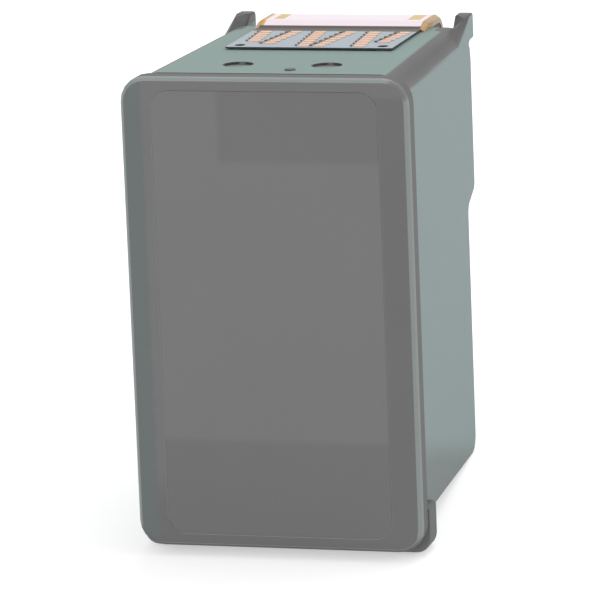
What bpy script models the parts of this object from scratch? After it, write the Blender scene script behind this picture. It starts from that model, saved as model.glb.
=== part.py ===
"""Ink cartridge with its print head built in, standing as it comes to rest.

Each piece is modelled upright in the cartridge's own frame: X across the lid, Y back from the lid's
face, Z up from the lid's lower edge to the contact wall. One empty carries them all, and leans back
until the housing rests on its lip and on its rear lower edge.
"""

import math

import bmesh
import bpy

MM = 0.001

# Clearances
FIT = 0.3 * MM
FILM_GAP = 0.15 * MM
EMBED = 0.8 * MM
OVERCUT = 1.0 * MM
LEAST_CORNER = 0.05 * MM

# Lid plate and the label in its recess
LID_WIDTH = 34.5 * MM
LID_HEIGHT = 56.1 * MM
LID_THICKNESS = 2.5 * MM
LID_CORNER = 3.0 * MM
LID_EDGE = 0.6 * MM
LABEL_WIDTH = 26.8 * MM
LABEL_HEIGHT = 52.6 * MM
LABEL_CORNER = 2.0 * MM
LABEL_THICKNESS = 0.2 * MM
SKIRT_WALL = 1.0 * MM
SKIRT_HEIGHT = 1.5 * MM
PRESS_RIB_WALL = 0.9 * MM
PRESS_RIB_HEIGHT = 2.6 * MM
PRESS_RIB_COUNT = 3
VENT_HOLE = 1.4 * MM
VENT_GROOVE_WIDTH = 0.6 * MM
VENT_GROOVE_DEPTH = 0.4 * MM
VENT_GROOVE_LENGTH = 9.0 * MM

# Housing
SIDE_SETBACK = 1.05 * MM
FLOOR_LIFT = 2.75 * MM
HOUSING_DEPTH = 37.0 * MM
SIDE_DRAFT = math.radians(2.14)
ROOF_DRAFT = math.radians(0.92)
FLOOR_DRAFT = math.radians(0.55)
WALL = 1.6 * MM
CHAMBER_END_WALL = 1.8 * MM
PARTITION = 1.2 * MM
CROSS_WALL_DROP = 15.5 * MM
CHAMBER_CORNER = 1.2 * MM
ROOF_EDGE = 2.8 * MM
SIDE_EDGE = 0.35 * MM
REAR_CORNER = 2.2 * MM

# Lip behind the lid's lower edge
LIP_DEPTH = 7.2 * MM
LIP_TOP = 5.0 * MM
LIP_DROP = 0.6 * MM
LIP_OVERHANG = 0.15 * MM
LIP_EDGE = 1.4 * MM
LIP_LOW_CORNER = 1.7 * MM
LIP_HIGH_CORNER = 0.6 * MM

# Snout, its raised headland and the ears beside it
SNOUT_PROUD = 4.3 * MM
SNOUT_HEIGHT = 20.5 * MM
SNOUT_STEP_SLOPE = 1.6 * MM
SNOUT_TOP_CORNER = 4.5 * MM
SNOUT_LOW_CORNER = 1.3 * MM
STEP_CORNER = 1.2 * MM
HEADLAND_PROUD = 1.45 * MM
HEADLAND_RISE = 0.65 * MM
HEADLAND_MARGIN = 0.4 * MM
HEADLAND_CORNER = 2.6 * MM
HEADLAND_HEIGHT = 19.2 * MM
RAMP_SETBACK = 7.9 * MM
RAMP_LENGTH = 2.2 * MM
RAMP_CORNER = 1.0 * MM
EAR_LENGTH = 7.4 * MM
EAR_PROUD = 2.7 * MM
EAR_RISE = 0.88 * MM
EAR_THICKNESS = 1.8 * MM
EAR_SETBACK = 0.05 * MM
EAR_HEIGHT = 3.1 * MM
EAR_CORNER = 0.8 * MM
EAR_EDGE = 0.3 * MM
EAR_BEVEL = 1.2
EAR_RIDGE = math.radians(35)
EAR_BEVEL_FADE = 4
EAR_STATIONS = 5

# Marks on the contact wall
DIMPLE_DIAMETER = 3.6 * MM
DIMPLE_DEPTH = 0.35 * MM
DIMPLE_SPACING = 10.7 * MM
DIMPLE_BACK = 9.0 * MM
GATE_DIAMETER = 1.3 * MM
GATE_HEIGHT = 0.15 * MM
GATE_OFFSET = 1.9 * MM
GATE_BACK = 5.4 * MM

# Flex circuit, which sits a little right of the middle together with the print head
HEAD_OFFSET = 0.4 * MM
FLEX_WIDTH = 20.4 * MM
FLEX_REACH = 22.1 * MM
FLEX_THICKNESS = 0.2 * MM
FLEX_END_MARGIN = 0.9 * MM
FLEX_HOLE = 1.3 * MM
FLEX_HOLE_SPACING = 17.5 * MM
FLEX_HOLE_BACK = 1.4 * MM
FLEX_HOLE_DEPTH = 1.0 * MM
PAD_WIDTH = 1.5 * MM
PAD_LENGTH = 1.05 * MM
PAD_HEIGHT = 0.06 * MM
PAD_PITCH = 1.6 * MM
PAD_GROUP_SPACING = 6.75 * MM
PAD_PAIR_GAP = 1.86 * MM
PAD_LEFT_SPREAD = 0.1 * MM
PAD_RIGHT_SPREAD = 0.2 * MM
PAD_BACK = 11.0 * MM
PAD_ROWS = (5, 6, 7, 7, 7, 5)

# Print head in its pocket
DIE_DROP = 9.6 * MM
DIE_WIDTH = 7.6 * MM
DIE_LENGTH = 10.6 * MM
DIE_THICKNESS = 0.6 * MM
SEAL_THICKNESS = 0.2 * MM
NOZZLE_PLATE_THICKNESS = 0.15 * MM
POCKET_DEPTH = 1.3 * MM
WINDOW_MARGIN = 0.5 * MM
BEAD_WIDTH = 1.7 * MM
BEAD_HEIGHT = 0.45 * MM
SLOT_PITCH = 2.4 * MM
SLOT_WIDTH = 0.8 * MM
SLOT_LENGTH = 8.6 * MM

# Ink path from each chamber to its slot
TOWER_WIDTH = 6.6 * MM
TOWER_HEIGHT = 4.6 * MM
TOWER_LENGTH = 2.5 * MM
TOWER_SIDE_OFFSET = 7.0 * MM
TOWER_WALL_GAP = 0.7 * MM
PASSAGE_DIAMETER = 2.0 * MM
MANIFOLD_DEPTH = 2.4 * MM
SCREEN_THICKNESS = 0.25 * MM
SCREEN_LAND = 0.5 * MM

# Fineness of round shapes
ARC_STEPS = 5
SMALL_ARC_STEPS = 3
EDGE_STEPS = 4
BEAD_STEPS = 8
ROUND_SIDES = 32
SMALL_ROUND_SIDES = 16
SMOOTH_ANGLE = math.radians(32)

# Places that follow from the sizes above
SEAM = LID_THICKNESS + FIT
CHAMBER_END = HOUSING_DEPTH - CHAMBER_END_WALL
CROSS_WALL = LID_HEIGHT - CROSS_WALL_DROP
SNOUT_DEPTH = HOUSING_DEPTH + SNOUT_PROUD
RAMP_START = SNOUT_DEPTH - RAMP_SETBACK
EAR_FRONT = SNOUT_DEPTH - EAR_LENGTH
FLEX_FRONT = SNOUT_DEPTH - FLEX_REACH
HEADLAND_BACK = SNOUT_DEPTH + HEADLAND_PROUD
LABEL_RECESS = LABEL_THICKNESS + FILM_GAP
PRESS_RIB_END = LID_THICKNESS + PRESS_RIB_HEIGHT
DIE_CENTRE = LID_HEIGHT - DIE_DROP
TOWER_TOP = CHAMBER_END - TOWER_LENGTH
POCKET_FLOOR = HEADLAND_BACK - POCKET_DEPTH
SEAL_FRONT = POCKET_FLOOR + FILM_GAP
DIE_FRONT = SEAL_FRONT + SEAL_THICKNESS + FILM_GAP
NOZZLE_PLATE_FRONT = DIE_FRONT + DIE_THICKNESS + FILM_GAP
FLEX_BACK = HEADLAND_BACK + FILM_GAP + FLEX_THICKNESS
CHAMBERS = ("upper", "left", "right")


def side_at(y):
    """Half width of the housing at depth y."""
    return LID_WIDTH / 2 - SIDE_SETBACK - math.tan(SIDE_DRAFT) * (y - SEAM)


def roof_at(y):
    """Height of the contact wall at depth y."""
    return LID_HEIGHT - math.tan(ROOF_DRAFT) * (y - SEAM)


def floor_at(y):
    """Height of the wall above the lip at depth y."""
    return FLOOR_LIFT + math.tan(FLOOR_DRAFT) * (y - SEAM)


# Outlines in the plane of Y and Z


def rounded_line(corners):
    """Points along a line whose corners (y, z, radius) are rounded, concave ones too."""
    points = [corners[0][:2]]
    for before, (y, z, radius), after in zip(corners, corners[1:], corners[2:]):
        back = (before[0] - y, before[1] - z)
        ahead = (after[0] - y, after[1] - z)
        back_length = math.hypot(*back)
        ahead_length = math.hypot(*ahead)
        back = (back[0] / back_length, back[1] / back_length)
        ahead = (ahead[0] / ahead_length, ahead[1] / ahead_length)
        corner_angle = math.acos(back[0] * ahead[0] + back[1] * ahead[1])
        reach = radius / math.tan(corner_angle / 2)
        middle = (back[0] + ahead[0], back[1] + ahead[1])
        middle_length = math.hypot(*middle)
        centre_distance = radius / math.sin(corner_angle / 2)
        centre = (
            y + middle[0] / middle_length * centre_distance,
            z + middle[1] / middle_length * centre_distance,
        )
        start = math.atan2(z + back[1] * reach - centre[1], y + back[0] * reach - centre[0])
        end = math.atan2(z + ahead[1] * reach - centre[1], y + ahead[0] * reach - centre[0])
        turn = (end - start + math.pi) % (2 * math.pi) - math.pi
        for step in range(ARC_STEPS + 1):
            angle = start + turn * step / ARC_STEPS
            points.append((centre[0] + radius * math.cos(angle), centre[1] + radius * math.sin(angle)))
    points.append(corners[-1][:2])
    return points


def outward_normals(points, closed):
    """Mitred normals to the left of the way along the points, scaled so that offsets keep their distance."""
    count = len(points)
    normals = []
    for i in range(count):
        sides = []
        for a, b in ((i - 1, i), (i, i + 1)):
            if not closed and (a < 0 or b >= count):
                continue
            dy = points[b % count][0] - points[a % count][0]
            dz = points[b % count][1] - points[a % count][1]
            length = math.hypot(dy, dz)
            sides.append((-dz / length, dy / length))
        y = sum(s[0] for s in sides)
        z = sum(s[1] for s in sides)
        length = math.hypot(y, z)
        scale = 1 / (y / length * sides[0][0] + z / length * sides[0][1])
        normals.append((y / length * scale, z / length * scale))
    return normals


def offset_line(points, distance):
    """The open line of points, moved to the left of its way by a distance."""
    normals = outward_normals(points, closed=False)
    return [(y + ny * distance, z + nz * distance) for (y, z), (ny, nz) in zip(points, normals)]


def housing_outline():
    """Side outline of the housing from the front of its roof, round the snout, to the front of its floor."""
    snout_foot = roof_at(SNOUT_DEPTH) - SNOUT_HEIGHT
    return rounded_line([
        (SEAM, roof_at(SEAM), 0),
        (SNOUT_DEPTH, roof_at(SNOUT_DEPTH), SNOUT_TOP_CORNER),
        (SNOUT_DEPTH, snout_foot, SNOUT_LOW_CORNER),
        (HOUSING_DEPTH, snout_foot - SNOUT_STEP_SLOPE, STEP_CORNER),
        (HOUSING_DEPTH, floor_at(HOUSING_DEPTH), REAR_CORNER),
        (SEAM, floor_at(SEAM), 0),
    ])


def flex_bed():
    """Line below the flex circuit: the contact wall, the ramp, over the headland and down its back."""
    ramp_end = RAMP_START + RAMP_LENGTH
    return rounded_line([
        (FLEX_FRONT, roof_at(FLEX_FRONT), 0),
        (RAMP_START, roof_at(RAMP_START), RAMP_CORNER),
        (ramp_end, roof_at(ramp_end) + HEADLAND_RISE, RAMP_CORNER),
        (HEADLAND_BACK, roof_at(HEADLAND_BACK) + HEADLAND_RISE, HEADLAND_CORNER),
        (HEADLAND_BACK, LID_HEIGHT - HEADLAND_HEIGHT, 0),
    ])


# Solids


def solid_from(bm, name):
    """An object holding the mesh, its faces turned outwards."""
    bmesh.ops.recalc_face_normals(bm, faces=bm.faces)
    mesh = bpy.data.meshes.new(name)
    bm.to_mesh(mesh)
    bm.free()
    solid = bpy.data.objects.new(name, mesh)
    bpy.context.scene.collection.objects.link(solid)
    return solid


def solid_from_rings(rings, name):
    """A closed solid through rings of as many points each, capped at both ends."""
    bm = bmesh.new()
    loops = [[bm.verts.new(point) for point in ring] for ring in rings]
    for near, far in zip(loops, loops[1:]):
        for i in range(len(near)):
            j = (i + 1) % len(near)
            bm.faces.new((near[i], near[j], far[j], far[i]))
    bm.faces.new(reversed(loops[0]))
    bm.faces.new(loops[-1])
    return solid_from(bm, name)


def quarter_turn(steps):
    """Angles from a face's plane, at a right angle, round its edge to zero."""
    return [math.pi / 2 * (1 - step / steps) for step in range(steps + 1)]


def across(name, outline, left, right, edges=None, flat_front=False):
    """Solid across X between two sides given as functions of y, with rounded edges where edges gives radii.

    A flat front keeps the closing face between the outline's two ends square.
    """
    normals = outward_normals(outline, closed=not flat_front)
    if flat_front:
        normals[0] = (0, 1)
        normals[-1] = (0, -1)
    turned = sum(y0 * z1 - y1 * z0 for (y0, z0), (y1, z1) in zip(outline, outline[1:] + outline[:1])) > 0
    outward = -1 if turned and not flat_front else 1
    rings = []
    angles = quarter_turn(ARC_STEPS) if edges else [0.0]
    for side, way, turn in ((left, 1, angles), (right, -1, list(reversed(angles)))):
        for angle in turn:
            ring = []
            for i, ((y, z), (ny, nz)) in enumerate(zip(outline, normals)):
                radius = edges[i] if edges else 0.0
                inset = outward * radius * (1 - math.cos(angle))
                recess = radius * (1 - math.sin(angle))
                at_y = y - ny * inset
                ring.append((side(at_y) + way * recess, at_y, z - nz * inset))
            rings.append(ring)
    return solid_from_rings(rings, name)


def section(y, left, right, low, high, radii, steps=ARC_STEPS):
    """Points of an upright rectangle at depth y; radii run from high right by high left to low right."""
    ring = []
    for quarter, (sx, sz, radius) in enumerate(zip((1, -1, -1, 1), (1, 1, -1, -1), radii)):
        x = (right if sx > 0 else left) - sx * radius
        z = (high if sz > 0 else low) - sz * radius
        for step in range(steps + 1):
            angle = math.pi / 2 * (quarter + step / steps)
            ring.append((x + radius * math.cos(angle), y, z + radius * math.sin(angle)))
    return ring


def plate(name, x, z, width, height, front, back, low_corner, high_corner=None, front_edge=0, back_edge=0):
    """Upright plate with rounded corners, its front and back edges rounded where a radius is given."""
    high_corner = low_corner if high_corner is None else high_corner
    stations = []
    if front_edge:
        stations += [(front + front_edge * (1 - math.sin(a)), front_edge * (1 - math.cos(a)))
                     for a in quarter_turn(SMALL_ARC_STEPS)]
    else:
        stations.append((front, 0.0))
    if back_edge:
        stations += [(back - back_edge * (1 - math.sin(a)), back_edge * (1 - math.cos(a)))
                     for a in reversed(quarter_turn(EDGE_STEPS))]
    else:
        stations.append((back, 0.0))
    rings = []
    for y, inset in stations:
        half_width = width / 2 - inset
        half_height = height / 2 - inset
        low = max(low_corner - inset, LEAST_CORNER)
        high = max(high_corner - inset, LEAST_CORNER)
        sides = (x - half_width, x + half_width, z - half_height, z + half_height)
        rings.append(section(y, *sides, (high, high, low, low)))
    return solid_from_rings(rings, name)


def block(name, low, high):
    """Plain rectangular block between two corners."""
    bm = bmesh.new()
    bmesh.ops.create_cube(bm, size=1.0)
    for vertex in bm.verts:
        vertex.co = [(a + b) / 2 + (b - a) * c for a, b, c in zip(low, high, vertex.co)]
    return solid_from(bm, name)


def oval(width, height, sides):
    """Points round an oval about the origin."""
    angles = [2 * math.pi * i / sides for i in range(sides)]
    return [(width / 2 * math.cos(angle), height / 2 * math.sin(angle)) for angle in angles]


def drum(name, x, z, width, height, front, back, sides=ROUND_SIDES):
    """Round or oval drum along Y."""
    rim = oval(width, height, sides)
    return solid_from_rings([[(x + dx, y, z + dz) for dx, dz in rim] for y in (front, back)], name)


def stud(name, x, y, diameter, low, high, sides=ROUND_SIDES):
    """Round stud along Z."""
    rim = oval(diameter, diameter, sides)
    return solid_from_rings([[(x + dx, y + dy, z) for dx, dy in rim] for z in (low, high)], name)


def combine(target, tool, operation):
    """Boolean of the target with a tool, which is then kept out of the model."""
    tool.hide_render = True
    tool.display_type = "WIRE"
    modifier = target.modifiers.new(tool.name, "BOOLEAN")
    modifier.operation = operation
    modifier.solver = "EXACT"
    modifier.object = tool


def cut(target, *tools):
    """Takes each tool's shape out of the target."""
    for tool in tools:
        combine(target, tool, "DIFFERENCE")


def add(target, *tools):
    """Fuses each tool's shape with the target."""
    for tool in tools:
        combine(target, tool, "UNION")


def settle(solid):
    """Writes the modifiers' result into the solid's mesh, removes their tools and smooths round faces."""
    tools = [m.object for m in solid.modifiers if m.type == "BOOLEAN"]
    bpy.context.view_layer.update()
    shape = solid.evaluated_get(bpy.context.evaluated_depsgraph_get())
    mesh = bpy.data.meshes.new_from_object(shape)
    solid.modifiers.clear()
    solid.data = mesh
    for tool in tools:
        bpy.data.objects.remove(tool)
    mesh.shade_smooth()
    mesh.set_sharp_from_angle(angle=SMOOTH_ANGLE)
    return solid


# Chambers and their ink path


def chamber_section(chamber, y, margin):
    """Left, right, low and high of a chamber at depth y, drawn in by a margin."""
    outer = side_at(y) - WALL
    half_wall = PARTITION / 2
    left = half_wall if chamber == "right" else -outer
    right = -half_wall if chamber == "left" else outer
    low = CROSS_WALL + half_wall if chamber == "upper" else floor_at(y) + WALL
    high = roof_at(y) - WALL if chamber == "upper" else CROSS_WALL - half_wall
    return left + margin, right - margin, low + margin, high - margin


def chamber_block(name, chamber, front, back, margin=0.0, corner=CHAMBER_CORNER):
    """Drafted block that fills a chamber between two depths, a margin clear of its walls."""
    rings = [
        section(y, *chamber_section(chamber, y, margin), [corner] * 4, SMALL_ARC_STEPS)
        for y in (front, back)
    ]
    return solid_from_rings(rings, name)


def tower_centre(chamber):
    """X and Z of a chamber's ink outlet: the upper one over the die, the others below the cross wall."""
    if chamber == "upper":
        return HEAD_OFFSET, DIE_CENTRE
    side = -1 if chamber == "left" else 1
    return side * TOWER_SIDE_OFFSET, CROSS_WALL - PARTITION / 2 - TOWER_WALL_GAP - TOWER_HEIGHT / 2


def slot_centre(chamber):
    """X of the slot that feeds a chamber's ink to the die."""
    return HEAD_OFFSET + {"left": -SLOT_PITCH, "upper": 0.0, "right": SLOT_PITCH}[chamber]


def ink_path(chamber):
    """Cutters for the hole through a tower, the manifold behind it and the slot behind the die."""
    x, z = tower_centre(chamber)
    slot = slot_centre(chamber)
    manifold_back = HOUSING_DEPTH + MANIFOLD_DEPTH
    slot_low = DIE_CENTRE - SLOT_LENGTH / 2
    slot_high = DIE_CENTRE + SLOT_LENGTH / 2
    bore = PASSAGE_DIAMETER
    hole = drum(f"hole_{chamber}", x, z, bore, bore, TOWER_TOP - OVERCUT, manifold_back)
    feed = block(
        f"feed_{chamber}",
        (slot - SLOT_WIDTH / 2, HOUSING_DEPTH, slot_low),
        (slot + SLOT_WIDTH / 2, HEADLAND_BACK, slot_high),
    )
    if chamber == "upper":
        return [hole, feed]
    side = math.copysign(1, x)
    inner = slot - side * SLOT_WIDTH / 2
    outer = x + side * bore / 2
    manifold = block(
        f"manifold_{chamber}",
        (min(inner, outer), HOUSING_DEPTH - FIT, z - bore / 2),
        (max(inner, outer), manifold_back, slot_high),
    )
    return [hole, feed, manifold]


# Pieces


def make_housing():
    """Moulded housing: chambers, lip, snout with headland and ears, and the marks on the contact wall."""
    outline = housing_outline()
    edges = housing_edges(outline)
    housing = across("housing", outline, lambda y: -side_at(y), side_at, edges, flat_front=True)
    add(housing, make_lip(), make_headland(), *make_ears(), make_gate_mark())
    cut(housing, *[chamber_block(f"chamber_{c}", c, SEAM - OVERCUT, CHAMBER_END) for c in CHAMBERS])
    for chamber in CHAMBERS:
        middle = tower_centre(chamber)
        root = CHAMBER_END + EMBED
        add(housing, drum(f"tower_{chamber}", *middle, TOWER_WIDTH, TOWER_HEIGHT, TOWER_TOP, root))
    for chamber in CHAMBERS:
        cut(housing, *ink_path(chamber))
    cut(housing, make_die_pocket(), *make_wall_marks())
    return settle(housing)


def housing_edges(outline):
    """Edge radius at each point of the housing's outline: large along the roof, small round the snout."""
    edges = []
    for y, z in outline:
        past_roof = max(0.0, y - (SNOUT_DEPTH - SNOUT_TOP_CORNER)) / SNOUT_TOP_CORNER
        on_roof = z > roof_at(SNOUT_DEPTH) - SNOUT_TOP_CORNER
        share = 1 - past_roof if on_roof else 0.0
        edges.append(SIDE_EDGE + (ROOF_EDGE - SIDE_EDGE) * share)
    return edges


def make_lip():
    """Bar behind the lid's lower edge, which the printer's latch pulls on."""
    return plate("lip", 0, (LIP_TOP - LIP_DROP) / 2, LID_WIDTH + 2 * LIP_OVERHANG, LIP_TOP + LIP_DROP,
                 SEAM, LIP_DEPTH, LIP_LOW_CORNER, LIP_HIGH_CORNER, back_edge=LIP_EDGE)


def make_headland():
    """Raised bed that carries the flex circuit over the corner and round to the print head."""
    bed = flex_bed()[1:]
    inside = [
        (SNOUT_DEPTH - SNOUT_TOP_CORNER, bed[-1][1]),
        (SNOUT_DEPTH - SNOUT_TOP_CORNER, roof_at(SNOUT_DEPTH) - 2 * EMBED),
        (RAMP_START - RAMP_CORNER, roof_at(RAMP_START) - EMBED),
    ]
    half = FLEX_WIDTH / 2 + HEADLAND_MARGIN
    return across("headland", bed + inside, lambda y: HEAD_OFFSET - half, lambda y: HEAD_OFFSET + half)


def ear_section(y, share, draw_in=0.0):
    """Ring of the right ear at depth y, when a share of it has grown out of the housing's rounded edge.

    The outer corner tightens and the bevel on the inner side levels out as the ear grows to its crest.
    """
    narrow = draw_in * EAR_EDGE / EAR_CORNER
    outer = side_at(y) - EAR_SETBACK - narrow
    inner = outer - EAR_THICKNESS + 2 * narrow
    high = roof_at(y) - EAR_SETBACK * (1 - share) + EAR_RISE * share - draw_in
    low = roof_at(SNOUT_DEPTH) + EAR_RISE - EAR_HEIGHT - ROOF_EDGE * (1 - share) + draw_in
    radius = ROOF_EDGE * (1 - share) + EAR_EDGE * share
    bevel = EAR_BEVEL * (1 - share ** EAR_BEVEL_FADE)
    ring = [(inner, y, low), (outer, y, low)]
    for step in range(EDGE_STEPS + 1):
        angle = math.pi / 2 + (EAR_RIDGE - math.pi / 2) * step / EDGE_STEPS
        ring.append((outer - radius * (1 - math.sin(angle)), y, high - radius * (1 - math.cos(angle))))
    ridge_x, _, ridge_z = ring[-1]
    for angle in reversed(quarter_turn(SMALL_ARC_STEPS)):
        x = inner + EAR_EDGE * (1 - math.sin(angle))
        ring.append((x, y, ridge_z - bevel * (ridge_x - x) - EAR_EDGE * (1 - math.cos(angle))))
    return ring


def make_ears():
    """Two ears at the corners, which grow out of the rounded edges and shield the flex circuit's bend."""
    nose = SNOUT_DEPTH + EAR_PROUD
    rings = []
    for station in range(EAR_STATIONS + 1):
        share = station / EAR_STATIONS
        rings.append(ear_section(EAR_FRONT + (SNOUT_DEPTH - EAR_FRONT) * share, share))
    for angle in reversed(quarter_turn(EDGE_STEPS)):
        draw_in = EAR_CORNER * (1 - math.cos(angle))
        rings.append(ear_section(nose - EAR_CORNER * (1 - math.sin(angle)), 1.0, draw_in))
    mirrored = [[(-x, y, z) for x, y, z in ring] for ring in rings]
    return solid_from_rings(rings, "ear_right"), solid_from_rings(mirrored, "ear_left")


def make_gate_mark():
    """Low stub that the moulding gate leaves on the contact wall."""
    top = roof_at(GATE_BACK)
    return stud("gate", GATE_OFFSET, GATE_BACK, GATE_DIAMETER, top - EMBED, top + GATE_HEIGHT,
                SMALL_ROUND_SIDES)


def make_die_pocket():
    """Cutter for the pocket that the print head sits in."""
    return block(
        "pocket",
        (HEAD_OFFSET - DIE_WIDTH / 2 - FIT, POCKET_FLOOR, DIE_CENTRE - DIE_LENGTH / 2 - FIT),
        (HEAD_OFFSET + DIE_WIDTH / 2 + FIT, HEADLAND_BACK + OVERCUT, DIE_CENTRE + DIE_LENGTH / 2 + FIT),
    )


def make_wall_marks():
    """Cutters for the two dimples in the contact wall and the two holes below the flex circuit's own."""
    tools = []
    for side in (-1, 1):
        top = roof_at(DIMPLE_BACK)
        tools.append(stud(f"dimple_{side}", side * DIMPLE_SPACING / 2, DIMPLE_BACK, DIMPLE_DIAMETER,
                          top - DIMPLE_DEPTH, top + OVERCUT))
    return tools + locating_holes(FLEX_HOLE_DEPTH)


def locating_holes(depth):
    """Cutters for the two round holes near the front of the flex circuit, to a depth in the contact wall."""
    y = FLEX_FRONT + FLEX_HOLE_BACK
    return [
        stud(f"locating_{side}", HEAD_OFFSET + side * FLEX_HOLE_SPACING / 2, y, FLEX_HOLE,
             roof_at(y) - depth, roof_at(y) + OVERCUT, SMALL_ROUND_SIDES)
        for side in (-1, 1)
    ]


def make_lid():
    """Lid plate with a label recess, vents under the label, and skirts and ribs that enter the chambers."""
    lid = plate("lid", 0, LID_HEIGHT / 2, LID_WIDTH, LID_HEIGHT, 0, LID_THICKNESS, LID_CORNER,
                front_edge=LID_EDGE)
    skirt_end = LID_THICKNESS + SKIRT_HEIGHT
    for chamber in CHAMBERS:
        skirt = chamber_block(f"skirt_{chamber}", chamber, LID_THICKNESS - EMBED, skirt_end, FIT)
        hollow = chamber_block(f"hollow_{chamber}", chamber, LID_THICKNESS, skirt_end + OVERCUT,
                               FIT + SKIRT_WALL, CHAMBER_CORNER / 2)
        cut(skirt, hollow)
        add(lid, settle(skirt), *press_ribs(chamber))
    recess = plate("recess", 0, LID_HEIGHT / 2, LABEL_WIDTH + 2 * FILM_GAP, LABEL_HEIGHT + 2 * FILM_GAP,
                   -OVERCUT, LABEL_RECESS, LABEL_CORNER + FILM_GAP)
    cut(lid, recess)
    for chamber in CHAMBERS:
        cut(lid, *vent_cutters(chamber))
    return settle(lid)


def press_ribs(chamber):
    """Ribs below the lid that hold a chamber's foam down and keep air above it."""
    left, right, low, high = chamber_section(chamber, SEAM, FIT + SKIRT_WALL - EMBED / 2)
    ribs = []
    for i in range(PRESS_RIB_COUNT):
        x = left + (right - left) * (i + 1) / (PRESS_RIB_COUNT + 1)
        ribs.append(block(
            f"rib_{chamber}_{i}",
            (x - PRESS_RIB_WALL / 2, LID_THICKNESS - EMBED, low),
            (x + PRESS_RIB_WALL / 2, PRESS_RIB_END, high),
        ))
    return ribs


def vent_cutters(chamber):
    """Cutters for a chamber's vent hole and for the groove that leads air to it below the label."""
    left, right, low, high = chamber_section(chamber, SEAM, 0.0)
    x = (left + right) / 2 + (right - left) / (PRESS_RIB_COUNT + 1) / 2
    z = (low + high) / 2
    hole = drum(f"vent_{chamber}", x, z, VENT_HOLE, VENT_HOLE, -OVERCUT, LID_THICKNESS + OVERCUT,
                SMALL_ROUND_SIDES)
    groove = block(
        f"groove_{chamber}",
        (x - VENT_GROOVE_WIDTH / 2, -OVERCUT, z - VENT_GROOVE_LENGTH),
        (x + VENT_GROOVE_WIDTH / 2, LABEL_RECESS + VENT_GROOVE_DEPTH, z),
    )
    return hole, groove


def make_label():
    """Bare label film in the lid's recess, which closes the vents."""
    back = LABEL_RECESS - FILM_GAP
    return settle(plate("label", 0, LID_HEIGHT / 2, LABEL_WIDTH, LABEL_HEIGHT, back - LABEL_THICKNESS, back,
                        LABEL_CORNER))


def make_foam(chamber):
    """Foam block that fills a chamber and is dented by the tower and screen."""
    foam = chamber_block(f"foam_{chamber}", chamber, PRESS_RIB_END + FIT, CHAMBER_END - FIT, margin=FIT)
    x, z = tower_centre(chamber)
    dent = drum(f"dent_{chamber}", x, z, TOWER_WIDTH + 2 * FIT, TOWER_HEIGHT + 2 * FIT,
                TOWER_TOP - FILM_GAP - SCREEN_THICKNESS - FIT, CHAMBER_END + OVERCUT)
    cut(foam, dent)
    return settle(foam)


def make_screen(chamber):
    """Oval filter screen on the end of a chamber's tower."""
    x, z = tower_centre(chamber)
    back = TOWER_TOP - FILM_GAP
    width = TOWER_WIDTH - SCREEN_LAND
    height = TOWER_HEIGHT - SCREEN_LAND
    return settle(drum(f"filter_screen_{chamber}", x, z, width, height, back - SCREEN_THICKNESS, back))


def make_flex_circuit():
    """Flex circuit: contact pads on the contact wall, and a window round the print head on the snout."""
    bed = flex_bed()
    end = (bed[-1][0], bed[-1][1] + FLEX_END_MARGIN)
    bed = bed[:-1] + [end]
    outline = offset_line(bed, FILM_GAP) + list(reversed(offset_line(bed, FILM_GAP + FLEX_THICKNESS)))
    half = FLEX_WIDTH / 2
    flex = across("flex_circuit", outline, lambda y: HEAD_OFFSET - half, lambda y: HEAD_OFFSET + half)
    add(flex, *[pad_block(i, x, y) for i, (x, y) in enumerate(pad_centres())])
    window_width = DIE_WIDTH / 2 + WINDOW_MARGIN
    window_height = DIE_LENGTH / 2 + WINDOW_MARGIN
    window = block(
        "window",
        (HEAD_OFFSET - window_width, HEADLAND_BACK - OVERCUT, DIE_CENTRE - window_height),
        (HEAD_OFFSET + window_width, FLEX_BACK + OVERCUT, DIE_CENTRE + window_height),
    )
    cut(flex, *locating_holes(OVERCUT), window)
    return settle(flex)


def pad_centres():
    """X and Y of every contact pad: three pairs of columns, each pair spreading towards the snout."""
    centres = []
    most = max(PAD_ROWS)
    for column, rows in enumerate(PAD_ROWS):
        group = HEAD_OFFSET + (column // 2 - 1) * PAD_GROUP_SPACING
        for row in range(most - rows, most):
            if column % 2:
                x = group + PAD_PAIR_GAP / 2 + PAD_RIGHT_SPREAD * row
            else:
                x = group - PAD_PAIR_GAP / 2 - PAD_LEFT_SPREAD * row
            centres.append((x, FLEX_FRONT + PAD_BACK - PAD_PITCH * (most - 1 - row)))
    return centres


def pad_block(index, x, y):
    """One raised contact pad on the flex circuit."""
    top = roof_at(y) + FILM_GAP + FLEX_THICKNESS
    return block(
        f"pad_{index}",
        (x - PAD_WIDTH / 2, y - PAD_LENGTH / 2, top - FLEX_THICKNESS / 2),
        (x + PAD_WIDTH / 2, y + PAD_LENGTH / 2, top + PAD_HEIGHT),
    )


def die_stack_plate(name, front, thickness):
    """Rectangular layer of the print head, centred on the die."""
    return block(
        name,
        (HEAD_OFFSET - DIE_WIDTH / 2, front, DIE_CENTRE - DIE_LENGTH / 2),
        (HEAD_OFFSET + DIE_WIDTH / 2, front + thickness, DIE_CENTRE + DIE_LENGTH / 2),
    )


def ink_slots(front, back):
    """Cutters for the ink slots through one layer of the print head."""
    return [
        block(
            f"slot_{chamber}",
            (slot_centre(chamber) - SLOT_WIDTH / 2, front, DIE_CENTRE - SLOT_LENGTH / 2),
            (slot_centre(chamber) + SLOT_WIDTH / 2, back, DIE_CENTRE + SLOT_LENGTH / 2),
        )
        for chamber in CHAMBERS
    ]


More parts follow.
